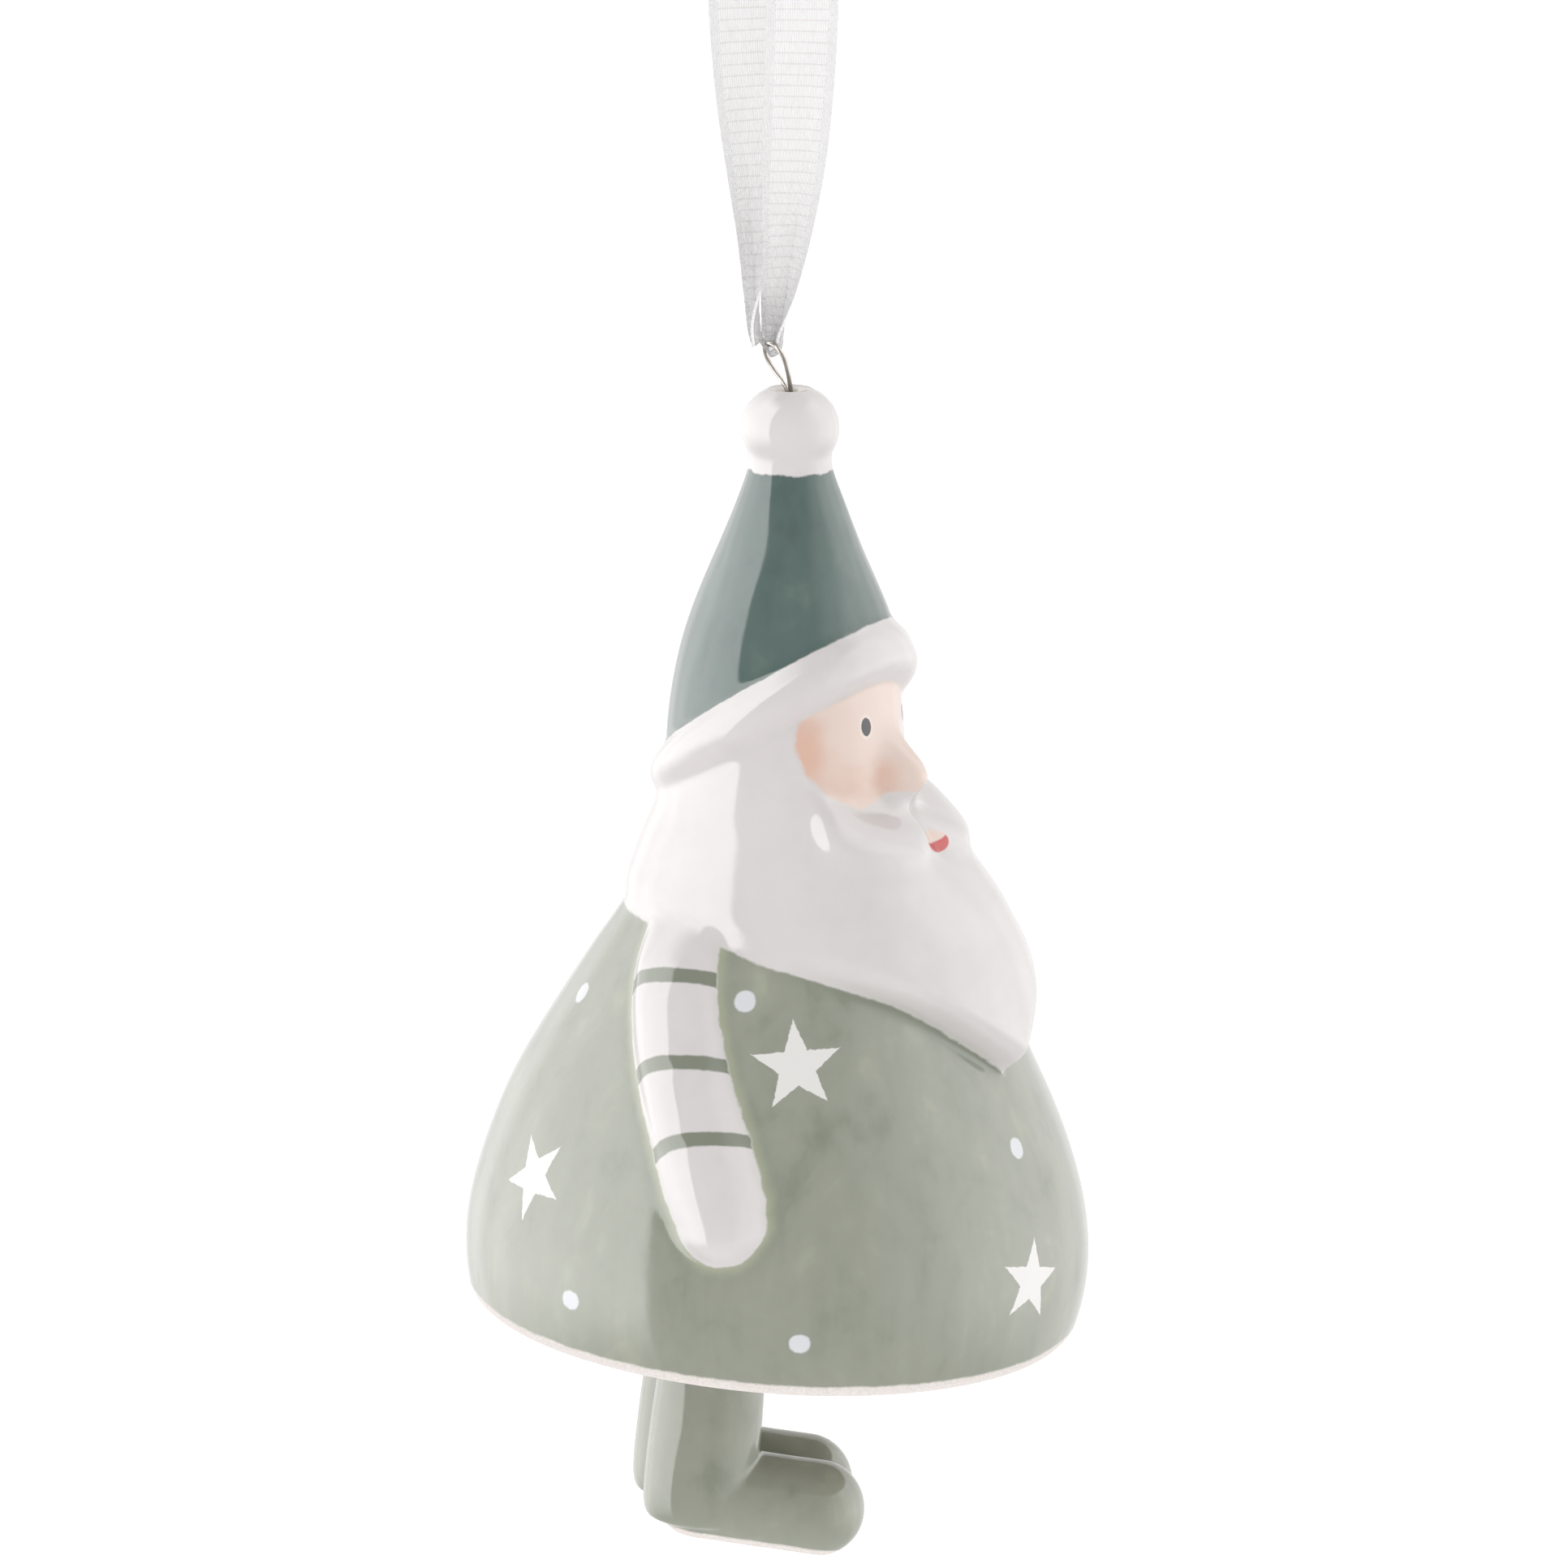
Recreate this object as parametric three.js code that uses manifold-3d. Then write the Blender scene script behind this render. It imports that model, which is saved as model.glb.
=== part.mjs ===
// A hanging bell ornament: a glazed ceramic gnome whose booted legs are the bell's clapper.
// Millimetres, +Z up. The figure faces -Y, so its own right hand is at -X. The origin is the hanging
// point, inside the top of the ribbon loop. "Depth" is measured down from the crown of the pompom.
import * as THREE from 'three';
import { mergeVertices } from 'three/addons/utils/BufferGeometryUtils.js';
import Module from 'manifold-3d';

const wasm = await Module();
wasm.setup();

// ---- Driving dimensions ----
const CROWN_Z = -53.3;
const POMPOM_RADIUS = 3.5;
const POMPOM_CENTRE = 3.55;
const BORE_RADIUS = 1.05;
const WALL = 2.7;
const CAVITY_TOP = 11.6;
const RIM_DEPTH = 79.2;
const RIM_SLANT = 2.1;
const RIM_ROUND = 0.8;
const BODY_SHIFT = 1.1;

const PIVOT_DEPTH = 58;
const PIVOT_Y = 6;
const LEG_TURN = THREE.MathUtils.degToRad(35);
const LEG_LEAN = THREE.MathUtils.degToRad(6);
const LEG_SPACING = 7.9;
const LEG_FORWARD = 1.1;
const LINK_HEIGHT = 8;
const LINK_WIDTH = 6;
const LINK_WIRE = 0.25;

const WIRE = 0.2;
const GAP = 0.3;
const RIBBON_WIDTH = 6;
const RIBBON_THICKNESS = 0.4;

// The upright plane that the hanging eye and the ribbon lie near: one way across it, one way out of it.
const ACROSS = new THREE.Vector3(0.469, -0.883, 0);
const FORWARD = new THREE.Vector3(-0.883, -0.469, 0);
const UP = new THREE.Vector3(0, 0, 1);

const smoothstep = THREE.MathUtils.smoothstep;
const rad = THREE.MathUtils.degToRad;

const BEAD_RADIUS = 1.85;
const BEAD_BORE = 0.95;
const BEAD_DEPTH = 14.1;
// The eye stands on its narrow foot and leans, with its width turned mostly towards the front.
const EYE_LEAN = rad(24);
const EYE_TURN = rad(60);
const EYE_HEIGHT = 4.1;
const EYE_LONG = ACROSS.clone().multiplyScalar(-Math.sin(EYE_LEAN))
  .addScaledVector(UP, Math.cos(EYE_LEAN));
const EYE_WIDE = ACROSS.clone().multiplyScalar(Math.cos(EYE_LEAN))
  .addScaledVector(UP, Math.sin(EYE_LEAN)).multiplyScalar(Math.cos(EYE_TURN))
  .addScaledVector(FORWARD, Math.sin(EYE_TURN));
const EYE_THROUGH = new THREE.Vector3().crossVectors(EYE_LONG, EYE_WIDE).normalize();
const EYE_FOOT = new THREE.Vector3(0, 0, CROWN_Z - 0.2);

const EYE_TOP = onEye(0, EYE_HEIGHT);
const LOWER_EYE_RADIUS = 1.25;
// Half the distance between the two strands of wire that stand in the crown's bore.
const STRANDS_APART = 0.32;
const PIVOT = new THREE.Vector3(0, PIVOT_Y, CROWN_Z - PIVOT_DEPTH);
const TOE_WAY = new THREE.Vector3(Math.sin(LEG_TURN), -Math.cos(LEG_TURN), 0);

// ---- Small helpers ----

function onEye(wide, long) {
  return EYE_FOOT.clone().addScaledVector(EYE_WIDE, wide).addScaledVector(EYE_LONG, long);
}

// A smooth curve through [x, y] pairs, read at x.
function readCurve(pairs, x) {
  const last = pairs.length - 1;
  if (x <= pairs[0][0]) return pairs[0][1];
  if (x >= pairs[last][0]) return pairs[last][1];
  const slope = (k) => {
    const a = Math.max(0, k - 1);
    const b = Math.min(last, k + 1);
    return (pairs[b][1] - pairs[a][1]) / (pairs[b][0] - pairs[a][0]);
  };
  const i = pairs.findIndex((p) => p[0] > x) - 1;
  const [x0, y0] = pairs[i];
  const [x1, y1] = pairs[i + 1];
  const step = x1 - x0;
  const t = (x - x0) / step;
  const keep = 1 - smoothstep(t, 0, 1);
  const rise = t * (1 - t) * (1 - t) * slope(i) - t * t * (1 - t) * slope(i + 1);
  return y0 * keep + y1 * (1 - keep) + step * rise;
}

// A raised pad: full height on its middle line and nothing at its half-width.
function mound(distance, halfWidth, height) {
  const t = Math.min(1, distance / halfWidth);
  return height * (1 - t * t);
}

function solidOf(geometry) {
  const bare = geometry.clone();
  bare.deleteAttribute('normal');
  bare.deleteAttribute('uv');
  const merged = mergeVertices(bare, 1e-4);
  const mesh = new wasm.Mesh({
    numProp: 3,
    vertProperties: new Float32Array(merged.attributes.position.array),
    triVerts: new Uint32Array(merged.index.array),
  });
  return new wasm.Manifold(mesh);
}

function geometryOf(solid) {
  const mesh = solid.getMesh();
  const geometry = new THREE.BufferGeometry();
  geometry.setAttribute('position', new THREE.BufferAttribute(new Float32Array(mesh.vertProperties), 3));
  geometry.setIndex(new THREE.BufferAttribute(new Uint32Array(mesh.triVerts), 1));
  geometry.computeVertexNormals();
  return geometry;
}

function moveVertices(geometry, place) {
  const position = geometry.attributes.position;
  const point = new THREE.Vector3();
  for (let n = 0; n < position.count; n += 1) {
    point.fromBufferAttribute(position, n);
    place(point, n);
    position.setXYZ(n, point.x, point.y, point.z);
  }
  geometry.computeVertexNormals();
  return geometry;
}

function tube(points, radius, steps, sides) {
  const section = new THREE.Shape();
  section.absarc(0, 0, radius, 0, 2 * Math.PI, false);
  const curve = new THREE.CatmullRomCurve3(points, false, 'centripetal');
  return new THREE.ExtrudeGeometry(section, {
    steps,
    extrudePath: curve,
    curveSegments: sides,
  });
}

// ---- The bell: pompom, hat, head, beard, arms and body in one hollow casting ----

// Radius of the plain figure against depth, from the neck of the pompom to the rim.
const FIGURE = [
  [5, 2.84], [6.2, 2.84], [7.1, 2.95], [9, 3.6], [13, 5.15], [19.3, 7.75], [23, 8.85], [28, 9.6],
  [35, 10], [39, 11.1], [43.5, 13.5], [48.3, 16.6], [55, 20.2], [62, 23.5], [68.6, 25.7], [74, 26.35],
  [79, 25.7], [83, 24.2],
];
// The hat's brim is a rolled band, tilted up at the front, with a sag over the figure's left eye.
const HAT_DEPTH = 24.9;
const HAT_TILT = 6.15;
const BRIM_DEPTH = 29.6;
const BRIM_TILT = 5.6;
const BRIM_SAG = 1.5;
const BRIM_SAG_TURN = rad(32);
// How far the beard stands out from the plain figure at the front, and the hair at the back.
const BEARD = [[33, 0.8], [36, 2.4], [40, 4.7], [43, 5.4], [46, 5.1], [49, 4.4], [52, 3.9], [56, 3.4]];
const HAIR = [[30, 0.5], [35, 1.1], [38, 1.6], [41, 1.3], [44, 0.5]];
// Depth of the beard's and hair's lower edge against degrees from the front.
const BEARD_EDGE = [[0, 56.6], [12, 53.6], [30, 49.8], [50, 47.5], [70, 46], [90, 44.6], [180, 43.6]];
const BEARD_TUCK = 2.9;
// The face is an oval in degrees and millimetres; its nose and moustache stand on it.
const FACE_DEPTH = 28.1;
const FACE_HEIGHT = 7;
const FACE_WIDTH = rad(60);
const NOSE_DEPTH = 32;
const NOSE_HEIGHT = 3.2;
const MOUTH_DEPTH = 37.4;
// The moustache's middle line: degrees from the front against depth.
const MOUSTACHE = [[0, 35.2], [8, 35.4], [16, 36.2], [29, 36.3], [43, 35.5], [60, 33.8]];
const MOUSTACHE_HEIGHT = 1.75;
// The arm's middle line: degrees from the front against depth.
const ARM = [[42, 103.5], [46.6, 99.7], [53.6, 89.7], [60, 80.6], [66, 75]];
const ARM_WIDTH = [[38, 2.8], [44, 3.7], [52, 4], [60, 4.1], [64, 3.9], [68, 3.1]];
const ARM_HEIGHT = 2.3;
const ARM_SHOWS = [40.5, 47];
const HAND_DEPTH = 66;
const SHOULDER_DEPTH = 42;
// The cavity narrows towards the crown's bore.
const NECK_DEPTH = 17;
const CAVITY_NECK = [[CAVITY_TOP, 1.7], [13.2, 2.5], [NECK_DEPTH, 4.3]];
const THUMB_TURN = 71.5;
const THUMB_DEPTH = 64.2;
const THUMB_RADIUS = 2;

function figureRadius(depth) {
  const hat = readCurve(FIGURE, depth);
  const rise = depth - POMPOM_CENTRE;
  const pompom = Math.sqrt(Math.max(0, POMPOM_RADIUS ** 2 - rise * rise));
  return depth < POMPOM_CENTRE ? pompom : Math.max(pompom, hat);
}

function hatEdge(phi) {
  return HAT_DEPTH - HAT_TILT * Math.cos(phi) + 0.4 * Math.cos(2 * phi);
}

function brimEdge(phi) {
  const sag = BRIM_SAG * Math.exp(-(((phi - BRIM_SAG_TURN) / rad(22)) ** 2));
  return BRIM_DEPTH - BRIM_TILT * Math.cos(phi) + sag;
}

function brimRelief(phi, depth) {
  const middle = (hatEdge(phi) + brimEdge(phi)) / 2;
  const half = (brimEdge(phi) - hatEdge(phi)) / 2;
  return mound(Math.abs(depth - middle), half, 1.45 + 0.5 * Math.cos(phi));
}

// How far a point of the head lies outside the oval of the face.
function outsideFace(phi, depth) {
  const across = phi / FACE_WIDTH;
  const down = (depth - FACE_DEPTH) / FACE_HEIGHT;
  return FACE_HEIGHT * (Math.hypot(across, down) - 1);
}

function beardRelief(phi, depth) {
  const front = Math.exp(-((Math.abs(phi) / rad(52)) ** 2.4));
  const full = front * readCurve(BEARD, depth) + (1 - front) * readCurve(HAIR, depth);
  const aboveEdge = readCurve(BEARD_EDGE, Math.abs(THREE.MathUtils.radToDeg(phi))) - depth;
  const tuck = THREE.MathUtils.clamp(aboveEdge / BEARD_TUCK, 0, 1);
  const opened = THREE.MathUtils.clamp(outsideFace(phi, depth) / 3, 0, 1);
  return full * (1 - (1 - tuck) ** 2) * (1 - (1 - opened) ** 2);
}

function noseRelief(phi, depth) {
  const across = (phi * 11.5) / 2;
  const down = (depth - NOSE_DEPTH) / (depth < NOSE_DEPTH ? 2.7 : 1.6);
  return NOSE_HEIGHT * Math.exp(-((across * across + down * down) ** 1.1));
}

// A broad soft lobe on each side, from beside the mouth out along the lower border of the face.
function moustacheRelief(phi, depth) {
  const side = Math.abs(THREE.MathUtils.radToDeg(phi));
  const aside = Math.max(0, 6 - side, side - 42) * 0.24;
  const distance = Math.hypot(aside, depth - readCurve(MOUSTACHE, side)) / 2.35;
  const lobe = MOUSTACHE_HEIGHT * Math.exp(-1.1 * distance ** 2.8);
  const dimple = 0.6 * Math.exp(-(((phi * 14) / 1.5) ** 2) - ((depth - MOUTH_DEPTH) / 1.1) ** 2);
  return lobe - dimple;
}

// How far a point lies inside the outline of the arm and its mittened hand.
function insideArm(phi, depth, half) {
  const radius = figureRadius(depth) * 0.92;
  const across = (Math.abs(phi) - rad(readCurve(ARM, depth))) * radius;
  const past = Math.max(0, depth - HAND_DEPTH, SHOULDER_DEPTH - depth);
  const thumb = Math.hypot((Math.abs(phi) - rad(THUMB_TURN)) * radius, (depth - THUMB_DEPTH) / 1.35);
  return Math.max(0, half - Math.hypot(across, past), THUMB_RADIUS - thumb);
}

function armRelief(phi, depth) {
  const half = readCurve(ARM_WIDTH, depth);
  const inside = Math.min(half, insideArm(phi, depth, half));
  return mound(half - inside, half, ARM_HEIGHT) * smoothstep(depth, ...ARM_SHOWS);
}

function shiftAt(depth) {
  return BODY_SHIFT * smoothstep(depth, 45, 60);
}

// Distance from the crown's axis to a round wall whose own axis is shifted back.
function shiftedRadius(phi, radius, shift) {
  const back = -Math.cos(phi) * shift;
  return back + Math.sqrt(radius * radius - shift * shift + back * back);
}

function outerRadius(phi, depth) {
  const plain = shiftedRadius(phi, figureRadius(depth), shiftAt(depth));
  const head = brimRelief(phi, depth) + noseRelief(phi, depth) + moustacheRelief(phi, depth);
  return plain + Math.max(beardRelief(phi, depth) + head, armRelief(phi, depth));
}

function innerRadius(phi, depth) {
  const opened = depth < NECK_DEPTH ? readCurve(CAVITY_NECK, depth) : Infinity;
  const radius = Math.min(opened, figureRadius(depth) - WALL);
  return shiftedRadius(phi, radius, shiftAt(depth));
}

// Depths of the rows of the wall, named by the surface they lie on.
function bellRows() {
  const rows = [{ face: 'bore', depth: CAVITY_TOP }, { face: 'bore', depth: 0.19 }];
  for (const angle of [32, 50, 70, 90, 112]) {
    rows.push({ face: 'outer', depth: POMPOM_CENTRE - POMPOM_RADIUS * Math.cos(rad(angle)) });
  }
  const outer = [6.2, 7.1, 8.6, 11.5, 15, 18, 19.8, 21.2, 22.6, 24, 25.5, 27, 28.6, 30.2, 31.6, 33,
    34.6, 36.2, 37.8, 39.6, 42, 44, 45.6, 47.4, 49.4, 51.4, 53.6, 56, 58.6, 61.4, 64.2, 67, 69.4, 71.6,
    74, 76.4];
  for (const depth of outer) rows.push({ face: 'outer', depth });
  for (const above of [RIM_ROUND, 0.25]) rows.push({ face: 'outer', depth: RIM_DEPTH - above });
  rows.push({ face: 'outer', depth: RIM_DEPTH });
  rows.push({ face: 'inner', depth: RIM_DEPTH });
  for (const depth of [78.6, 74, 68, 62, 56, 50, 44, 37, 28, 20, 16, 13.6, 12.4, CAVITY_TOP]) {
    rows.push({ face: 'inner', depth });
  }
  return rows.reverse();
}

function placeOnBell(row, phi) {
  const sheared = smoothstep(row.depth, 60, RIM_DEPTH) * RIM_SLANT * Math.cos(phi);
  const depth = row.depth + sheared;
  const aboveRim = RIM_DEPTH - row.depth;
  let radius = BORE_RADIUS;
  if (row.face === 'outer') {
    const rounded = Math.max(0, RIM_ROUND - aboveRim);
    radius = outerRadius(phi, depth) - RIM_ROUND + Math.sqrt(RIM_ROUND ** 2 - rounded ** 2);
  }
  if (row.face === 'inner') radius = innerRadius(phi, depth) + Math.max(0, 0.3 - aboveRim);
  return new THREE.Vector3(
    radius * Math.sin(phi),
    -radius * Math.cos(phi),
    CROWN_Z - depth,
  );
}

function bellGeometry() {
  const segments = 60;
  const rows = bellRows();
  const ring = [...rows, rows[0]].map((row, n) => new THREE.Vector2(1 + n, n));
  const geometry = new THREE.LatheGeometry(ring, segments);
  return moveVertices(geometry, (point, n) => {
    const turn = Math.floor(n / ring.length) % segments;
    const even = (2 * Math.PI * turn) / segments - Math.PI;
    const phi = even - 0.3 * Math.sin(even);
    point.copy(placeOnBell(rows[(n % ring.length) % rows.length], phi));
  });
}

// ---- The clapper: two booted legs in one casting, hung from a pierced lug ----

// The pivot is the origin here. The toes point along +X and the legs hang down -Z.
const LEG_TOP = -3.4;
const LEG_PROFILE = [
  [0, -40], [3.6, -39.6], [4.5, -38], [4.6, -34], [4.55, -30], [4.3, -24], [4.15, -16], [4.1, -8],
  [3.7, -5.4], [2.6, -4], [0, LEG_TOP],
];
const SOLE_HEIGHT = -40.9;
const SOLE_PITCH = rad(4.6);
const TOE_RADIUS = 4.05;
const TOE_REACH = 10;
const LUG_HOLE = 1.25;
const LUG_RADIUS = 3.3;
const LUG_THICKNESS = 2.6;

function legSolid() {
  const profile = LEG_PROFILE.map(([r, z]) => new THREE.Vector2(r, z));
  const column = new THREE.LatheGeometry(profile, 20);
  column.rotateX(Math.PI / 2);
  column.scale(1.04, 0.93, 1);
  const toe = new THREE.CapsuleGeometry(TOE_RADIUS, TOE_REACH, 5, 14);
  toe.rotateZ(Math.PI / 2);
  toe.scale(1, 0.98, 1.02);
  toe.translate(TOE_REACH / 2, 0, TOE_RADIUS - 0.5);
  toe.rotateY(SOLE_PITCH);
  toe.translate(0, 0, SOLE_HEIGHT);
  const ground = new THREE.BoxGeometry(60, 30, 20);
  ground.translate(0, 0, -10);
  ground.rotateY(SOLE_PITCH);
  ground.translate(0, 0, SOLE_HEIGHT);
  return solidOf(column).add(solidOf(toe)).subtract(solidOf(ground));
}

function lugSolid() {
  const shape = new THREE.Shape();
  const hole = -LUG_HOLE / 3;
  shape.moveTo(-LUG_RADIUS, hole);
  shape.absarc(0, hole, LUG_RADIUS, Math.PI, 0, true);
  shape.lineTo(3.6, -9);
  shape.lineTo(-3.6, -9);
  shape.closePath();
  const bore = new THREE.Path();
  bore.absarc(0, hole, LUG_HOLE, 0, 2 * Math.PI, false);
  shape.holes.push(bore);
  const lug = new THREE.ExtrudeGeometry(shape, {
    depth: LUG_THICKNESS,
    bevelEnabled: false,
    curveSegments: 9,
  });
  lug.rotateX(Math.PI / 2);
  lug.translate(0, LUG_THICKNESS / 2, 0);
  return solidOf(lug);
}

function legPairGeometry() {
  const leg = legSolid();
  const left = leg.translate([LEG_FORWARD, LEG_SPACING / 2, 0]);
  const right = leg.translate([LEG_FORWARD, -LEG_SPACING / 2, 0]);
  return geometryOf(left.add(right).add(lugSolid()));
}

// ---- The wires and the bead ----

function linkGeometry() {
  const ring = new THREE.TorusGeometry(LINK_WIDTH / 2, LINK_WIRE, 6, 20);
  const stretch = (LINK_HEIGHT - LINK_WIDTH) / 2;
  moveVertices(ring, (point) => {
    const share = THREE.MathUtils.clamp(point.y, -1, 1);
    point.y += share * stretch;
  });
  ring.rotateX(Math.PI / 2);
  ring.rotateZ(Math.PI / 2);
  ring.translate(0, 0, LINK_HEIGHT / 2);
  return ring;
}

function beadGeometry() {
  const section = [];
  const flat = Math.asin(BEAD_BORE / BEAD_RADIUS);
  for (let k = 0; k <= 8; k += 1) {
    const angle = flat + ((Math.PI - 2 * flat) * k) / 8;
    section.push(new THREE.Vector2(BEAD_RADIUS * Math.sin(angle), -BEAD_RADIUS * Math.cos(angle)));
  }
  section.push(section[0].clone());
  const bead = new THREE.LatheGeometry(section, 16);
  bead.rotateX(Math.PI / 2);
  return bead;
}

// One length of wire: a short tail under the bead, up through the crown, round the eye, down again,
// back to the clapper's place and round the lower eye.
function hangerGeometry() {
  const shank = (sign, depth) => new THREE.Vector3(0, 0, CROWN_Z - depth)
    .addScaledVector(EYE_WIDE.clone().setZ(0).normalize(), sign * STRANDS_APART);
  const eyeBottom = PIVOT.z + LINK_HEIGHT - LINK_WIRE - GAP - WIRE;
  const eyeCentre = new THREE.Vector3(0, PIVOT_Y, eyeBottom + LOWER_EYE_RADIUS);
  const points = [
    shank(-2.6, 17.2), shank(-1, 15.6), shank(-1, 13), shank(-1, 7), shank(-1, 2.2), shank(-1, 0.4),
    onEye(-1.1, 1.5), onEye(-1.45, 2.8), onEye(-1.05, 3.75), onEye(0, EYE_HEIGHT), onEye(1.05, 3.75),
    onEye(1.45, 2.8), onEye(1.1, 1.5), shank(1, 0.4), shank(1, 2.2), shank(1, 7), shank(1, 13),
    shank(1, 16), shank(1, 20),
    new THREE.Vector3(0, PIVOT_Y * 0.45, CROWN_Z - 32),
    new THREE.Vector3(0, PIVOT_Y * 0.95, CROWN_Z - 43),
  ];
  for (const angle of [70, 20, -30, -80, -130, -180, -230]) {
    points.push(eyeCentre.clone()
      .addScaledVector(TOE_WAY, LOWER_EYE_RADIUS * Math.cos(rad(angle)))
      .addScaledVector(UP, LOWER_EYE_RADIUS * Math.sin(rad(angle))));
  }
  return tube(points, WIRE, 96, 3);
}

// ---- The ribbon ----

// A strap along a curve. frame(t) gives its width, its height along the curve and its face.
function strapGeometry(points, widthAt, wayAt, steps) {
  const curve = new THREE.CatmullRomCurve3(points, false, 'centripetal');
  const strap = new THREE.BoxGeometry(1, 1, 1, 2, 1, steps);
  return moveVertices(strap, (point) => {
    const t = point.z + 0.5;
    const centre = curve.getPointAt(t);
    const tangent = curve.getTangentAt(t);
    const way = wayAt(t).normalize();
    way.addScaledVector(tangent, -way.dot(tangent)).normalize();
    const face = new THREE.Vector3().crossVectors(tangent, way);
    const across = point.x * widthAt(t);
    const through = point.y * RIBBON_THICKNESS;
    point.copy(centre).addScaledVector(way, across).addScaledVector(face, through);
  });
}

// A point beside the eye: its place across and out of the eye's upright plane, and its height.
function beside(across, forward, z) {
  return new THREE.Vector3(0, 0, z).addScaledVector(ACROSS, across).addScaledVector(FORWARD, forward);
}

const LOOP_TOP = 0.2;
const KNOT_HEIGHT = 3.2;
const TAIL_LENGTH = 11;
const TAIL_WIDTH = 5.6;
// The ribbon is gathered at the eye: the width that shows against the share of a strand's length.
const SHOWN_WIDTH = [[0, 0.95], [0.06, 1.1], [0.12, 1.9], [0.27, 4.4], [0.4, 5.5], [0.6, RIBBON_WIDTH],
  [1, RIBBON_WIDTH]];

function ribbonFrontPoints() {
  const under = EYE_TOP.clone().addScaledVector(EYE_LONG, -(WIRE + GAP + RIBBON_THICKNESS / 2));
  return [
    under.clone().addScaledVector(EYE_THROUGH, -0.45),
    under.clone().addScaledVector(EYE_THROUGH, 0.35).addScaledVector(UP, 0.05),
    EYE_TOP.clone().addScaledVector(EYE_THROUGH, 0.95).addScaledVector(UP, 0.6),
    beside(-0.5, 1.2, CROWN_Z + 9.8),
    beside(0.3, 2.6, CROWN_Z + 18),
    beside(0.9, 3.9, CROWN_Z + 27),
    beside(1.1, 4.6, CROWN_Z + 34),
    beside(0.8, 4.6, CROWN_Z + 42),
    beside(0.2, 3.6, -6.6),
    beside(0, 2.2, -1.6),
    beside(0, 0.35, LOOP_TOP),
  ];
}

function ribbonBackPoints() {
  return [
    EYE_TOP.clone().addScaledVector(EYE_THROUGH, -0.95).addScaledVector(UP, 0.5),
    EYE_TOP.clone().addScaledVector(EYE_THROUGH, -1.2).addScaledVector(UP, 1.8),
    beside(-2.5, -1.3, CROWN_Z + 10.5),
    beside(-2.8, -2.4, CROWN_Z + 18),
    beside(-3.5, -3.5, CROWN_Z + 27),
    beside(-3.7, -4.4, CROWN_Z + 34),
    beside(-2.6, -4.6, CROWN_Z + 42),
    beside(-0.8, -3.6, -6.6),
    beside(-0.1, -2.2, -1.6),
    beside(0, -0.35, LOOP_TOP),
  ];
}

function knotGeometry() {
  const knot = new THREE.SphereGeometry(1, 14, 9);
  knot.scale(3.6, 2.9, 2.6);
  knot.translate(0, 0, KNOT_HEIGHT);
  const tails = [-1, 1].map((sign) => {
    const tail = new THREE.BoxGeometry(TAIL_WIDTH, RIBBON_THICKNESS, TAIL_LENGTH);
    tail.rotateX(sign * 0.16);
    tail.rotateY(sign * 0.22);
    tail.translate(sign * 1.2, sign * -1.2, 9);
    return solidOf(tail);
  });
  const solid = tails.reduce((sum, tail) => sum.add(tail), solidOf(knot));
  const geometry = geometryOf(solid);
  geometry.rotateZ(Math.atan2(ACROSS.y, ACROSS.x));
  return geometry;
}

// ---- Assembly ----

function material(color, roughness, metalness = 0) {
  return new THREE.MeshStandardMaterial({ color, roughness, metalness });
}

const GLAZE = material(0xa3ad9b, 0.12);
const STEEL = material(0x807b76, 0.3, 1);
const GROSGRAIN = material(0xf2f0ec, 0.7);
const BEAD = material(0x9c8a6e, 0.5);

const ornament = new THREE.Group();

function add(name, geometry, finish, parent = ornament) {
  const mesh = new THREE.Mesh(geometry, finish);
  mesh.name = name;
  parent.add(mesh);
  return mesh;
}

add('bell_shell', bellGeometry(), GLAZE);
add('hanger_wire', hangerGeometry(), STEEL);
add('stop_bead', beadGeometry(), BEAD).position.z = CROWN_Z - BEAD_DEPTH;

const clapper = new THREE.Group();
clapper.position.copy(PIVOT);
clapper.rotation.z = LEG_TURN - Math.PI / 2;
ornament.add(clapper);
add('clapper_link', linkGeometry(), STEEL, clapper);
add('leg_pair', legPairGeometry(), GLAZE, clapper).rotation.y = LEG_LEAN;

const widen = (t) => readCurve(SHOWN_WIDTH, t);
const turnFront = (t) => EYE_WIDE.clone().lerp(ACROSS, smoothstep(t, 0.02, 0.2));
const turnBack = (t) => EYE_WIDE.clone().lerp(ACROSS, smoothstep(t, 0, 0.2));
add('ribbon_front', strapGeometry(ribbonFrontPoints(), widen, turnFront, 30), GROSGRAIN);
add('ribbon_back', strapGeometry(ribbonBackPoints(), widen, turnBack, 28), GROSGRAIN);
add('ribbon_knot', knotGeometry(), GROSGRAIN);

export default ornament;
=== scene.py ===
import math

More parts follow.
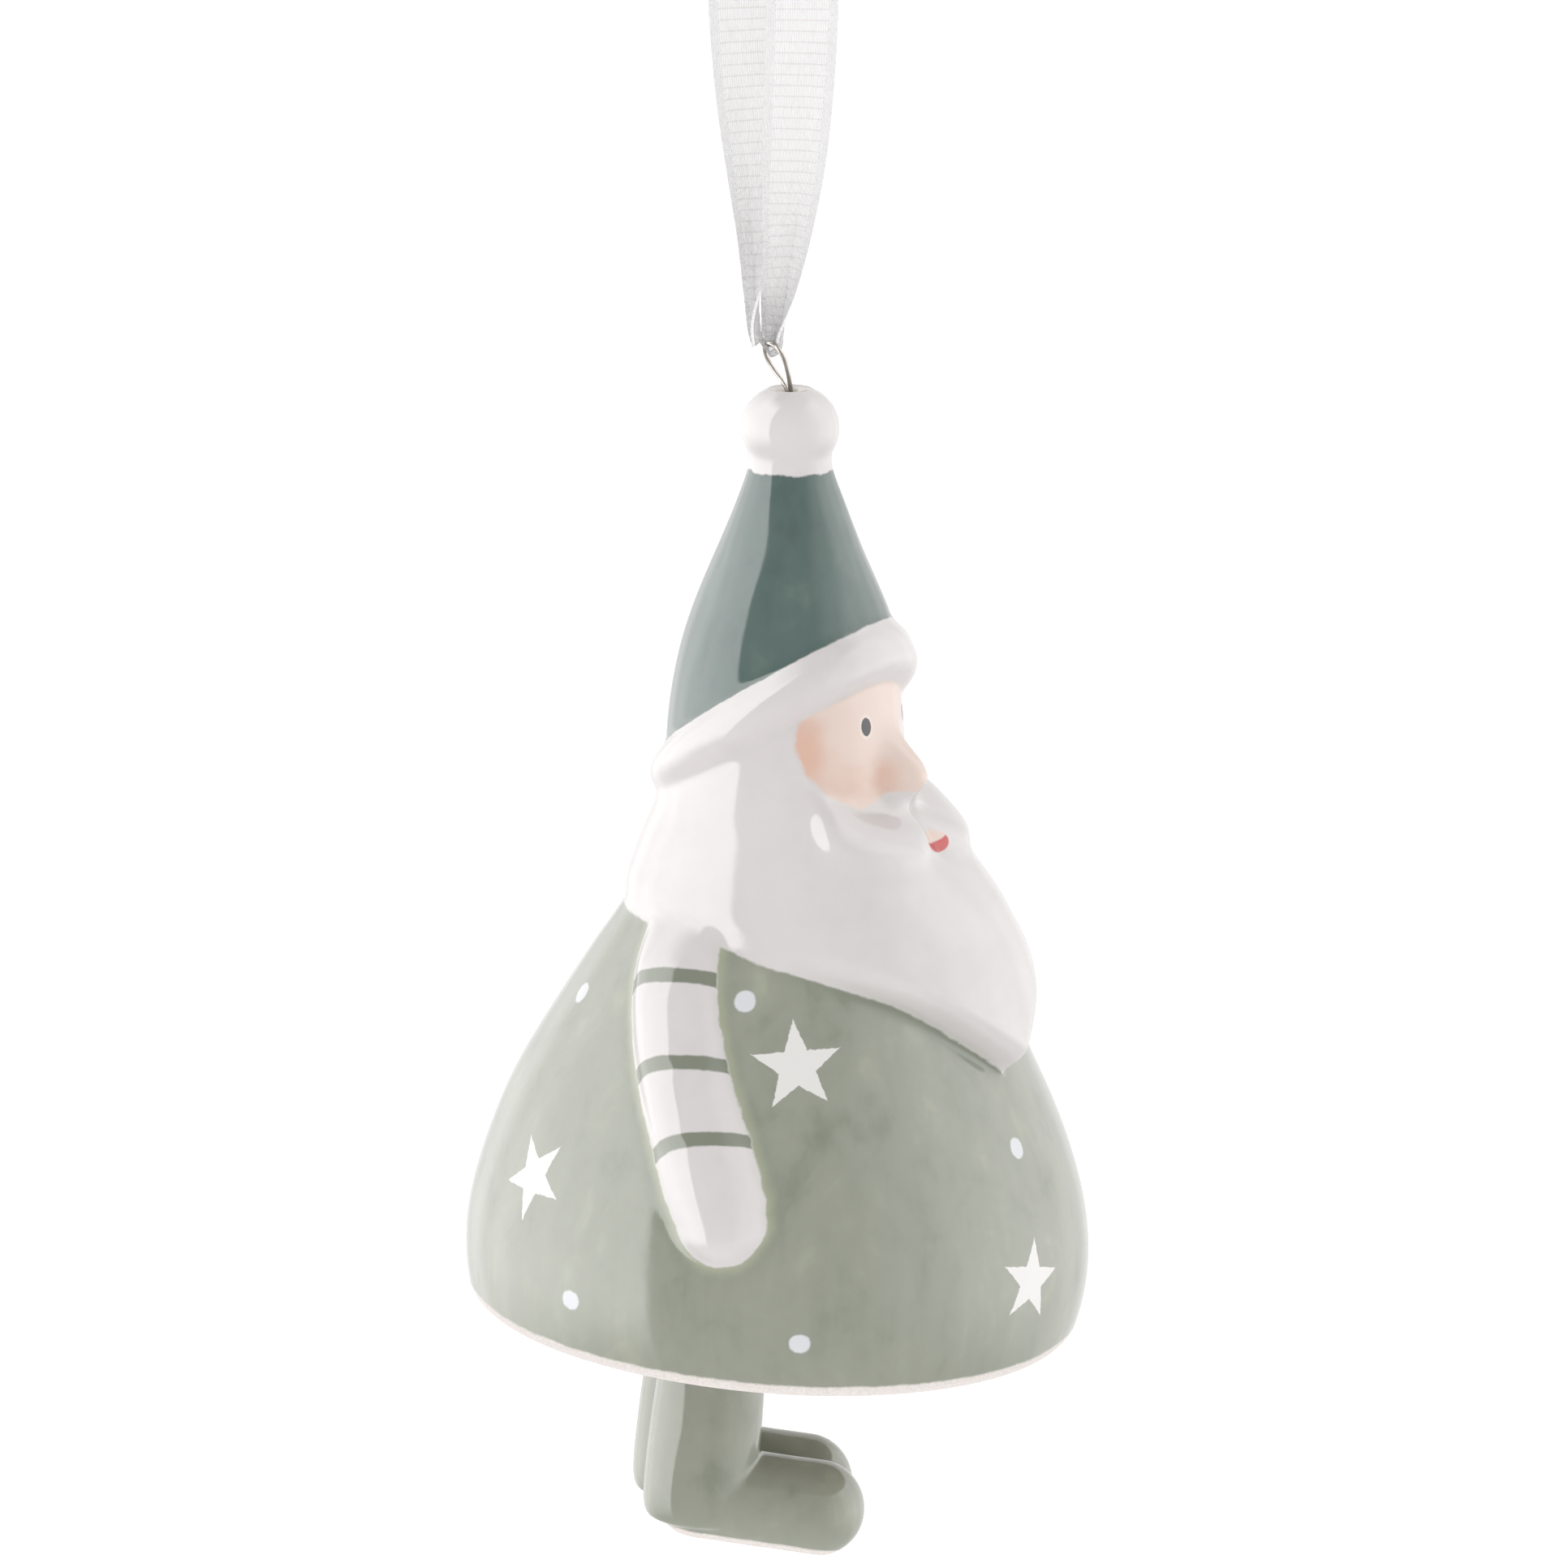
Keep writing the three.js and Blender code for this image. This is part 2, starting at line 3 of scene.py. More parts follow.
import bpy
import numpy as np
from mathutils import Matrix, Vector


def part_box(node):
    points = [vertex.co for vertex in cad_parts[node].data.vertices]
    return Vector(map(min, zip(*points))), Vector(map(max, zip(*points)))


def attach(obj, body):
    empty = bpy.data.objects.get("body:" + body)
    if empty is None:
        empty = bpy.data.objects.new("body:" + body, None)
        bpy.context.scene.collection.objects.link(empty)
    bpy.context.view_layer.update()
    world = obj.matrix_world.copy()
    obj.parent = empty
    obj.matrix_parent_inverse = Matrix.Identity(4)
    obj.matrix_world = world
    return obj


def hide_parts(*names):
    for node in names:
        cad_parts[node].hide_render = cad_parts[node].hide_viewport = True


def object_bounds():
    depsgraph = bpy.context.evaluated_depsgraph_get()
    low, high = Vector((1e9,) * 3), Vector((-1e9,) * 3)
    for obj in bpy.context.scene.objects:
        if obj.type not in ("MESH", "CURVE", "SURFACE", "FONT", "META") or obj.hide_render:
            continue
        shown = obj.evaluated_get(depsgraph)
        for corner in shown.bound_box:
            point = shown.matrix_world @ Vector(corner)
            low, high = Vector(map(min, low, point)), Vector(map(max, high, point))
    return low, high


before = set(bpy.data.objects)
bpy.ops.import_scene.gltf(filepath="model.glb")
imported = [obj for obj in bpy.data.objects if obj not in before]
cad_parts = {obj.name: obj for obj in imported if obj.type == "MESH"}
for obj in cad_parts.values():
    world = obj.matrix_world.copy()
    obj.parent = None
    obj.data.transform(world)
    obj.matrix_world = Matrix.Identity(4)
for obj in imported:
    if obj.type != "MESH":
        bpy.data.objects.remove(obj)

CAD_BOX = [list(corner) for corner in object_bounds()]
MM = 0.001
CROWN_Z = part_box("bell_shell")[1].z / MM + 0.19

# ---- Directions of the upright plane that the camera faces and the hanging eye leans in ----
ACROSS = np.array([0.469, -0.883, 0.0])
TOWARDS = np.array([-0.883, -0.469, 0.0])
UP = np.array([0.0, 0.0, 1.0])


# ---- Camera ----

CAMERA_RISE = math.radians(13)
CAMERA_DISTANCE = 0.9
FRAME_WIDTH = 0.1314
AIM_DEPTH = 34.0
AIM_ACROSS = -0.4


def add_camera():
    camera = bpy.data.objects.new("camera", bpy.data.cameras.new("camera"))
    bpy.context.scene.collection.objects.link(camera)
    aim = (ACROSS * AIM_ACROSS + UP * (CROWN_Z - AIM_DEPTH)) * MM
    back = TOWARDS * math.cos(CAMERA_RISE) + UP * math.sin(CAMERA_RISE)
    camera.location = aim + back * CAMERA_DISTANCE
    camera.rotation_euler = Vector(-back).to_track_quat("-Z", "Y").to_euler()
    camera.data.lens = camera.data.sensor_width * CAMERA_DISTANCE / FRAME_WIDTH
    bpy.context.scene.camera = camera


# ---- Curves and meshes ----

def unit(vectors):
    return vectors / np.linalg.norm(vectors, axis=-1, keepdims=True)


def smoothstep(x, low, high):
    t = np.clip((x - low) / (high - low), 0, 1)
    return t * t * (3 - 2 * t)


def read_curve(pairs, x):
    """A smooth curve through (x, y) pairs, read at x."""
    px, py = np.array(pairs, float).T
    x = np.clip(x, px[0], px[-1])
    last = len(px) - 1
    before, after = np.maximum(np.arange(last + 1) - 1, 0), np.minimum(np.arange(last + 1) + 1, last)
    slope = (py[after] - py[before]) / (px[after] - px[before])
    i = np.clip(np.searchsorted(px, x, side="right") - 1, 0, last - 1)
    step = px[i + 1] - px[i]
    t = (x - px[i]) / step
    keep = 1 - smoothstep(t, 0, 1)
    rise = t * (1 - t) ** 2 * slope[i] - t * t * (1 - t) * slope[i + 1]
    return py[i] * keep + py[i + 1] * (1 - keep) + step * rise


def smooth_line(points, count):
    """Evenly spaced points on the centripetal Catmull-Rom curve through the given ones."""
    p = np.array(points, float)
    p = np.vstack([2 * p[0] - p[1], p, 2 * p[-1] - p[-2]])
    knots = np.concatenate([[0], np.cumsum(np.linalg.norm(np.diff(p, axis=0), axis=1) ** 0.5)])
    fine = []
    for k in range(1, len(p) - 2):
        t = np.linspace(knots[k], knots[k + 1], 40, endpoint=False)[:, None]
        t0, t1, t2, t3 = knots[k - 1:k + 3]
        a1 = ((t1 - t) * p[k - 1] + (t - t0) * p[k]) / (t1 - t0)
        a2 = ((t2 - t) * p[k] + (t - t1) * p[k + 1]) / (t2 - t1)
        a3 = ((t3 - t) * p[k + 1] + (t - t2) * p[k + 2]) / (t3 - t2)
        b1 = ((t2 - t) * a1 + (t - t0) * a2) / (t2 - t0)
        b2 = ((t3 - t) * a2 + (t - t1) * a3) / (t3 - t1)
        fine.append(((t2 - t) * b1 + (t - t1) * b2) / (t2 - t1))
    fine = np.vstack(fine + [p[-2:-1]])
    length = np.concatenate([[0], np.cumsum(np.linalg.norm(np.diff(fine, axis=0), axis=1))])
    even = np.linspace(0, length[-1], count)
    return np.column_stack([np.interp(even, length, fine[:, k]) for k in range(3)])


def tangents(line):
    return unit(np.gradient(line, axis=0))


def grid_mesh(name, grid, closed_rows=False, closed_columns=True, capped=False):
    """An object from a rows x columns grid of points in millimetres."""
    rows, columns = grid.shape[:2]
    index = np.arange(rows * columns).reshape(rows, columns)
    down = np.arange(rows if closed_rows else rows - 1)
    along = np.arange(columns if closed_columns else columns - 1)
    r, c = np.meshgrid(down, along, indexing="ij")
    r2, c2 = (r + 1) % rows, (c + 1) % columns
    faces = np.stack([index[r, c], index[r, c2], index[r2, c2], index[r2, c]], axis=-1)
    faces = faces.reshape(-1, 4).tolist()
    if capped:
        faces += [index[0][::-1].tolist(), index[-1].tolist()]
    mesh = bpy.data.meshes.new(name)
    mesh.from_pydata((grid.reshape(-1, 3) * MM).tolist(), [], faces)
    mesh.validate()
    mesh.shade_smooth()
    piece = bpy.data.objects.new(name, mesh)
    bpy.context.scene.collection.objects.link(piece)
    return piece


def sweep(name, line, radius, sides=14, closed=False, across=None):
    """A round rod along a line. Its frame is carried along without twist."""
    along = tangents(line)
    if closed:
        along = unit(np.roll(line, -1, axis=0) - np.roll(line, 1, axis=0))
    side = np.zeros_like(line)
    start = ACROSS if across is None else across
    side[0] = unit(start - along[0] * (start @ along[0]))
    for k in range(1, len(line)):
        side[k] = unit(side[k - 1] - along[k] * (side[k - 1] @ along[k]))
    other = np.cross(along, side)
    angle = np.linspace(0, 2 * np.pi, sides, endpoint=False)
    radius = np.broadcast_to(radius, len(line))[:, None, None]
    ring = side[:, None] * np.cos(angle)[:, None] + other[:, None] * np.sin(angle)[:, None]
    return grid_mesh(name, line[:, None] + ring * radius, closed_rows=closed, capped=not closed)


def store(piece, name, values):
    """Keeps one number, or one vector, for each vertex of a piece."""
    kind = "FLOAT" if np.ndim(values) == 1 else "FLOAT_VECTOR"
    attribute = piece.data.attributes.new(name, kind, "POINT")
    key = "value" if kind == "FLOAT" else "vector"
    attribute.data.foreach_set(key, np.ascontiguousarray(values, np.float32).ravel())


def join(pieces, name):
    bpy.ops.object.select_all(action="DESELECT")
    for piece in pieces:
        piece.select_set(True)
    bpy.context.view_layer.objects.active = pieces[0]
    bpy.ops.object.join()
    pieces[0].name = name
    return pieces[0]


def vertices(piece):
    points = np.zeros(len(piece.data.vertices) * 3)
    piece.data.vertices.foreach_get("co", points)
    return points.reshape(-1, 3)


# ---- Node materials ----

def srgb(red, green, blue):
    """A colour given as 0 to 255 in sRGB, for a shader socket."""
    share = np.array([red, green, blue]) / 255
    linear = np.where(share <= 0.04045, share / 12.92, ((share + 0.055) / 1.055) ** 2.4)
    return (*linear.tolist(), 1.0)


class Paint:
    """Builds one material: each method adds a node and gives back its output."""

    def __init__(self, name):
        self.material = bpy.data.materials.new(name)
        self.material.use_nodes = True
        self.tree = self.material.node_tree
        self.shader = self.tree.nodes["Principled BSDF"]
        self.place = self.node("ShaderNodeVectorMath", "SCALE")
        self.link(self.node("ShaderNodeTexCoord").outputs["Object"], self.place.inputs[0])
        self.place.inputs["Scale"].default_value = 1 / MM
        self.place = self.place.outputs[0]

    def node(self, kind, operation=None):
        made = self.tree.nodes.new(kind)
        if operation:
            made.operation = operation
        return made

    def link(self, value, socket):
        if isinstance(value, bpy.types.NodeSocket):
            self.tree.links.new(value, socket)
        else:
            socket.default_value = value

    def math(self, operation, *values):
        made = self.node("ShaderNodeMath", operation)
        for value, socket in zip(values, made.inputs):
            self.link(value, socket)
        return made.outputs[0]

    def add(self, first, *others):
        for other in others:
            first = self.math("ADD", first, other)
        return first

    def times(self, first, *others):
        for other in others:
            first = self.math("MULTIPLY", first, other)
        return first

    def graph(self, value, pairs):
        """A line through (value, height) pairs, each step eased."""
        height = pairs[0][1]
        for (low, before), (high, after) in zip(pairs, pairs[1:]):
            height = self.add(height, self.times(self.fade(value, low, high), after - before))
        return height

    def stored(self, name):
        made = self.node("ShaderNodeAttribute")
        made.attribute_name = name
        return made.outputs["Fac"]

    def stored_vector(self, name):
        made = self.node("ShaderNodeAttribute")
        made.attribute_name = name
        split = self.node("ShaderNodeSeparateXYZ")
        self.link(made.outputs["Vector"], split.inputs[0])
        return split.outputs

    def stretched(self, x, y, z):
        made = self.node("ShaderNodeVectorMath", "MULTIPLY")
        self.link(self.place, made.inputs[0])
        made.inputs[1].default_value = (x, y, z)
        return made.outputs[0]

    def noise(self, size, detail=3.0, place=None, warp=0.0):
        """Noise about zero, from -0.5 to 0.5, with blotches of about that size in millimetres."""
        made = self.node("ShaderNodeTexNoise")
        self.link(place or self.place, made.inputs["Vector"])
        made.inputs["Scale"].default_value = 1 / size
        made.inputs["Detail"].default_value = detail
        made.inputs["Distortion"].default_value = warp
        return self.math("SUBTRACT", made.outputs["Fac"], 0.5)

    def specks(self, spacing, radius, share):
        """1 on small round specks that sit in that share of the cells."""
        made = self.node("ShaderNodeTexVoronoi")
        self.link(self.place, made.inputs["Vector"])
        made.inputs["Scale"].default_value = 1 / spacing
        chosen = self.node("ShaderNodeSeparateColor")
        self.link(made.outputs["Color"], chosen.inputs[0])
        dot = self.fade(made.outputs["Distance"], radius / spacing, 0.4 * radius / spacing)
        return self.times(dot, self.math("LESS_THAN", chosen.outputs[0], share))

    def fade(self, value, start, end, low=0.0, high=1.0):
        """A smooth step from low at start to high at end."""
        made = self.node("ShaderNodeMapRange")
        made.interpolation_type = "SMOOTHSTEP"
        if end < start:
            start, end, low, high = end, start, high, low
        for socket, number in zip(("From Min", "From Max", "To Min", "To Max"), (start, end, low, high)):
            made.inputs[socket].default_value = number
        self.link(value, made.inputs["Value"])
        return made.outputs[0]

    def inside(self, distance, soft=0.06):
        """1 where a signed distance in millimetres is below zero."""
        return self.fade(distance, soft, -soft)

    def mix(self, share, first, second, kind="MIX"):
        made = self.node("ShaderNodeMix")
        made.data_type = "RGBA"
        made.blend_type = kind
        self.link(share, made.inputs["Factor"])
        self.link(first, made.inputs[6])
        self.link(second, made.inputs[7])
        return made.outputs[2]

    def blend(self, share, first, second):
        """Mixes two numbers."""
        made = self.node("ShaderNodeMix")
        self.link(share, made.inputs["Factor"])
        self.link(first, made.inputs[2])
        self.link(second, made.inputs[3])
        return made.outputs[0]

    def bump(self, *layers):
        """Each layer is a height from about -0.5 to 0.5 and its depth in millimetres."""
        normal = None
        for height, depth in layers:
            made = self.node("ShaderNodeBump")
            made.inputs["Distance"].default_value = depth * MM
            self.link(height, made.inputs["Height"])
            if normal:
                self.link(normal, made.inputs["Normal"])
            normal = made.outputs[0]
        self.link(normal, self.shader.inputs["Normal"])

    def finish(self, colour, roughness):
        self.link(colour, self.shader.inputs["Base Color"])
        self.link(roughness, self.shader.inputs["Roughness"])
        return self.material


# ---- The hanging eye's frame ----

EYE_LEAN = math.radians(24)
EYE_TURN = math.radians(60)
EYE_HEIGHT = 4.1
EYE_LONG = -math.sin(EYE_LEAN) * ACROSS + math.cos(EYE_LEAN) * UP
EYE_WIDE = (math.cos(EYE_TURN) * (math.cos(EYE_LEAN) * ACROSS + math.sin(EYE_LEAN) * UP)
            + math.sin(EYE_TURN) * TOWARDS)
EYE_THROUGH = unit(np.cross(EYE_LONG, EYE_WIDE))
EYE_FOOT = np.array([0, 0, CROWN_Z - 0.2])
WIRE = 0.2


def on_eye(wide, along):
    return EYE_FOOT + EYE_WIDE * wide + EYE_LONG * along


EYE_TOP = on_eye(0, EYE_HEIGHT)

# ---- The ribbon ----

RIBBON_WIDTH = 6.0
RIBBON_HALF_THICK = 0.13
RIB_PITCH = 0.93
RIB_HEIGHT = 0.075
SELVAGE = 0.9
CREASE_AT = 0.9
FOLD_LIFT = 0.32
# The width that shows, in millimetres, against the share of a strand's length from the eye.
SHOWN_WIDTH = [(0, 1.1), (0.04, 1.7), (0.12, 2.8), (0.27, 4.7), (0.38, 5.5), (0.6, 5.95), (1, 5.95)]
LOOP_TOP = 0.2


def beside(across, forward, z):
    """A point beside the eye: its place across and out of the eye's upright plane, and its height."""
    return ACROSS * across + TOWARDS * forward + UP * z


def front_route():
    under = EYE_TOP - EYE_LONG * (WIRE + 0.5)
    return [
        under - EYE_THROUGH * 0.45,
        under + EYE_THROUGH * 0.35 + UP * 0.05,
        EYE_TOP + EYE_THROUGH * 0.95 + UP * 0.6,
        beside(-0.5, 1.2, CROWN_Z + 9.8),
        beside(0.3, 2.6, CROWN_Z + 18),
        beside(0.9, 3.9, CROWN_Z + 27),
        beside(1.1, 4.6, CROWN_Z + 34),
        beside(0.8, 4.6, CROWN_Z + 42),
        beside(0.2, 3.6, -6.6),
        beside(0, 2.2, -1.6),
        beside(0, 0.35, LOOP_TOP),
    ]


def back_route():
    return [
        EYE_TOP - EYE_THROUGH * 0.95 + UP * 0.5,
        EYE_TOP - EYE_THROUGH * 1.2 + UP * 1.8,
        beside(-2.5, -1.3, CROWN_Z + 10.5),
        beside(-2.8, -2.4, CROWN_Z + 18),
        beside(-3.5, -3.5, CROWN_Z + 27),
        beside(-3.7, -4.4, CROWN_Z + 34),
        beside(-2.6, -4.6, CROWN_Z + 42),
        beside(-0.8, -3.6, -6.6),
        beside(-0.1, -2.2, -1.6),
        beside(0, -0.35, LOOP_TOP),
    ]


def grosgrain_strip(name, line, way, shown_width, crease, columns=26):
    """A ribbed ribbon along a line. Where it shows narrower than it is, it is folded on its crease."""
    along = tangents(line)
    way = unit(way - along * np.sum(way * along, axis=1)[:, None])
    face = np.cross(along, way)
    across = np.sin(np.linspace(-np.pi / 2, np.pi / 2, columns)) * RIBBON_WIDTH / 2
    travelled = np.concatenate([[0], np.cumsum(np.linalg.norm(np.diff(line, axis=0), axis=1))])
    rib = np.abs(np.sin(np.pi * travelled / RIB_PITCH)) ** 0.7
    edge = smoothstep(RIBBON_WIDTH / 2 - np.abs(across), 0.75 * SELVAGE, SELVAGE)
    thick = RIBBON_HALF_THICK + RIB_HEIGHT * rib[:, None] * (0.35 + 0.65 * edge) * edge
    thick += 0.03 * (1 - edge)
    folded = np.arccos(np.clip(shown_width / RIBBON_WIDTH, 0, 1))
    aside = across[None] * np.cos(folded)[:, None]
    lifted = (abs(crease) - np.abs(across[None] - crease)) * np.sin(folded)[:, None] * FOLD_LIFT
    sheets = []
    for sign in (1, -1):
        offset = lifted + sign * thick
        sheets.append(line[:, None] + way[:, None] * aside[..., None] + face[:, None] * offset[..., None])
    grid = np.concatenate([sheets[0], sheets[1][:, ::-1]], axis=1)
    piece = grid_mesh(name, grid, capped=True)
    u = np.concatenate([across, across[::-1]])
    store(piece, "across", np.tile(u, len(line)))
    store(piece, "along", np.repeat(travelled, 2 * columns))
    return piece


def ribbon_material():
    p = Paint("white_grosgrain")
    across, along = p.stored("across"), p.stored("along")
    cells = p.node("ShaderNodeCombineXYZ")
    p.link(across, cells.inputs[0])
    p.link(along, cells.inputs[1])
    thread = p.math("SINE", p.times(across, 2 * math.pi / 0.2))
    rib = p.math("ABSOLUTE", p.math("SINE", p.times(along, math.pi / RIB_PITCH)))
    half = RIBBON_WIDTH / 2
    selvage = p.fade(p.math("ABSOLUTE", across), half - SELVAGE, half - 0.75 * SELVAGE)
    stitch = p.math("SINE", p.times(along, 4 * math.pi / RIB_PITCH))
    fuzz = p.noise(0.12, 4, cells.outputs[0])
    cloud = p.noise(3.0, 2)
    # The valleys between the ribs get a painted shade (none on the flat selvage); the thread, fuzz and
    # cloud terms are the weave's own uneven tone.
    rib_valley_shade = p.times(p.fade(rib, 0.45, 0.0), p.math("SUBTRACT", 1.0, selvage))
    shade = p.add(p.times(rib_valley_shade, 0.42), p.times(thread, 0.05), p.times(fuzz, 0.22), p.times(cloud, 0.15))
    colour = p.mix(shade, srgb(254, 253, 253), srgb(216, 214, 215))
    colour = p.mix(p.times(selvage, 0.2), colour, srgb(244, 244, 246))
    p.bump((thread, 0.03), (p.times(stitch, selvage), 0.035), (fuzz, 0.03))
    p.shader.inputs["Sheen Weight"].default_value = 0.25
    # A faint glow stands for the light that the thin weave lets through.
    p.shader.inputs["Emission Color"].default_value = (1, 1, 1, 1)
    p.shader.inputs["Emission Strength"].default_value = 0.03
    return p.finish(colour, p.fade(p.add(fuzz, cloud), -0.4, 0.4, 0.42, 0.62))


def turning(count, low, high, other):
    """The ribbon's width turns from the eye's width to another direction."""
    share = smoothstep(np.linspace(0, 1, count), low, high)[:, None]
    return EYE_WIDE * (1 - share) + other * share


def add_ribbon():
    material = ribbon_material()
    steps = 440
    shown = read_curve(SHOWN_WIDTH, np.linspace(0, 1, steps))
    strands = []
    for name, route, start, crease in (
        ("ribbon_front_strand", front_route(), 0.02, CREASE_AT),
        ("ribbon_back_strand", back_route(), 0.0, -CREASE_AT),
    ):
        line = smooth_line(route, steps)
        strand = grosgrain_strip(name, line, turning(steps, start, 0.2, ACROSS), shown, crease)
        strands.append((strand, line))
    knot = knot_piece()
    for piece in [s for s, _ in strands] + [knot]:
        piece.data.materials.append(material)
        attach(piece, "ribbon")
    for (strand, line), node in zip(strands, ("ribbon_front", "ribbon_back")):
        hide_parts(node)
    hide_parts("ribbon_knot")


def knot_piece():
    """An overhand knot: the doubled ribbon wound once round itself, with two slanting cut tails."""
    centre = UP * 3.2
    t = np.linspace(0, 2 * np.pi, 300)
    turn_radius = 1.75 + 0.75 * np.cos(3 * t)
    wound = (ACROSS * (1.15 * turn_radius * np.cos(2 * t))[:, None]
             + TOWARDS * (0.85 * turn_radius * np.sin(2 * t))[:, None]
             + UP * (1.05 * np.sin(3 * t))[:, None] + centre)
    outward = unit(np.cross(tangents(wound), wound - centre))
    width = np.full(len(t), 0.5 * RIBBON_WIDTH)
    parts = [grosgrain_strip("knot", wound, outward, width, 0.6, 20)]
    for sign in (-1, 1):
        route = [beside(sign * 0.4, -sign * 0.4, 3.0), beside(sign * 0.9, -sign * 0.9, 6.0),
                 beside(sign * 1.6, -sign * 1.5, 9.5), beside(sign * 2.4, -sign * 1.9, 13.6)]
        line = smooth_line(route, 120)
        shown = RIBBON_WIDTH * (0.45 + 0.48 * smoothstep(np.linspace(0, 1, 120), 0.1, 0.6))
        way = np.tile(ACROSS, (120, 1))
        parts.append(grosgrain_strip("tail", line, way, shown, -0.8 * sign, 20))
    return join(parts, "ribbon_knot_bow")


# ---- The bell's shape ----

POMPOM_RADIUS = 3.5
POMPOM_CENTRE = 3.55
BORE_RADIUS = 1.05
WALL = 2.7
CAVITY_TOP = 11.6
RIM_DEPTH = 79.2
RIM_SLANT = 2.1
RIM_ROUND = 0.8
BODY_SHIFT = 1.1

# Radius of the plain figure against depth, from the neck of the pompom to the rim.
FIGURE = [
    (5, 2.84), (6.2, 2.84), (7.1, 2.95), (9, 3.6), (13, 5.15), (19.3, 7.75), (23, 8.85), (28, 9.6),
    (35, 10), (39, 11.1), (43.5, 13.5), (48.3, 16.6), (55, 20.2), (62, 23.5), (68.6, 25.7), (74, 26.35),
    (79, 25.7), (83, 24.2),
]
# The hat's brim is a rolled band, tilted up at the front, with a sag over the figure's left eye.
HAT_DEPTH = 24.9
HAT_TILT = 6.15
BRIM_DEPTH = 29.6
BRIM_TILT = 5.6
BRIM_SAG = 1.5
BRIM_SAG_TURN = math.radians(32)
# The face is an oval, in turn and depth.
FACE_DEPTH = 28.1
FACE_HEIGHT = 7
FACE_WIDTH = math.radians(60)
BEARD = [(33, 0.8), (36, 2.4), (40, 4.7), (43, 5.4), (46, 5.1), (49, 4.4), (52, 3.9), (56, 3.4)]
HAIR = [(30, 0.5), (35, 1.1), (38, 1.6), (41, 1.3), (44, 0.5)]
BEARD_EDGE = [(0, 56.6), (12, 53.6), (30, 49.8), (50, 47.5), (70, 46), (90, 44.6), (180, 43.6)]
BEARD_TUCK = 2.9
ARM = [(42, 103.5), (46.6, 99.7), (53.6, 89.7), (60, 80.6), (66, 75)]
ARM_WIDTH = [(38, 2.8), (44, 3.7), (52, 4.0), (60, 4.1), (64, 3.9), (68, 3.1)]
ARM_HEIGHT = 2.3
MOUSTACHE = [(0, 35.2), (8, 35.4), (16, 36.2), (29, 36.3), (43, 35.5), (60, 33.8)]
MOUSTACHE_TOP = [(0, 33.6), (8, 33.2), (20, 34.0), (34, 34.6), (60, 34.2)]
THUMB = (71.5, 64.2)
THUMB_RADIUS = 2.0
HAND_DEPTH = 66
SHOULDER_DEPTH = 42
BANDS = (46.9, 53.2, 58.8)
BAND_HALF = 0.52

EYE_PLACE = (math.radians(20), 27.5)
MOUTH_DEPTH = 37.4
NOSE_DEPTH = 32.0
NOSE_HEIGHT = 3.2
MOUSTACHE_HEIGHT = 1.75

# Stars as degrees from the front, depth, and turn of the first point; dots as degrees and depth.
STARS = [(-60, 53.5, -4), (-120.4, 64.5, 180), (-8.6, 73, 14), (47, 60, 20), (126, 62, -160),
         (177, 66.5, 8)]
DOTS = [(-134, 50.6), (-74.5, 48.7), (-4.7, 62.3), (-105, 73.4), (-60, 75.4), (30, 73.9), (68, 71.2),
        (36, 52.6), (150, 75.5), (122, 50.5), (160, 55), (-160, 74.5), (98, 75.5)]
STAR_TIP = 3.9
STAR_NOTCH = 1.6
DOT_RADIUS = 0.9


def mound(distance, half_width, height):
    t = np.minimum(1, distance / half_width)
    return height * (1 - t * t)


def figure_radius(depth):
    hat = read_curve(FIGURE, depth)
    pompom = np.sqrt(np.maximum(0, POMPOM_RADIUS ** 2 - (depth - POMPOM_CENTRE) ** 2))
    return np.where(depth < POMPOM_CENTRE, pompom, np.maximum(pompom, hat))


def hat_edge(turn):
    return HAT_DEPTH - HAT_TILT * np.cos(turn) + 0.4 * np.cos(2 * turn)


def brim_edge(turn):
    sag = BRIM_SAG * np.exp(-((turn - BRIM_SAG_TURN) / math.radians(22)) ** 2)
    return BRIM_DEPTH - BRIM_TILT * np.cos(turn) + sag


def brim_relief(turn, depth):
    middle = (hat_edge(turn) + brim_edge(turn)) / 2
    half = (brim_edge(turn) - hat_edge(turn)) / 2
    return mound(np.abs(depth - middle), half, 1.45 + 0.5 * np.cos(turn))


def outside_face(turn, depth):
    """How far a point of the head lies outside the oval of the face."""
    return FACE_HEIGHT * (np.hypot(turn / FACE_WIDTH, (depth - FACE_DEPTH) / FACE_HEIGHT) - 1)


def outside_skin(turn, depth):
    """Signed distance to the painted skin: the face's oval, cut off by the brim and the moustache."""
    moustache = depth - read_curve(MOUSTACHE_TOP, np.abs(np.degrees(turn)))
    return np.maximum(np.maximum(outside_face(turn, depth), moustache), brim_edge(turn) - 0.15 - depth)


def beard_edge(turn):
    return read_curve(BEARD_EDGE, np.abs(np.degrees(turn)))


def beard_relief(turn, depth):
    front = np.exp(-((np.abs(turn) / math.radians(52)) ** 2.4))
    full = front * read_curve(BEARD, depth) + (1 - front) * read_curve(HAIR, depth)
    tuck = np.clip((beard_edge(turn) - depth) / BEARD_TUCK, 0, 1)
    opened = np.clip(outside_face(turn, depth) / 3, 0, 1)
    return full * (1 - (1 - tuck) ** 2) * (1 - (1 - opened) ** 2)


def nose_relief(turn, depth):
    across = turn * 11.5 / 2.0
    down = (depth - NOSE_DEPTH) / np.where(depth < NOSE_DEPTH, 2.7, 1.6)
    return NOSE_HEIGHT * np.exp(-(across ** 2 + down ** 2) ** 1.1)


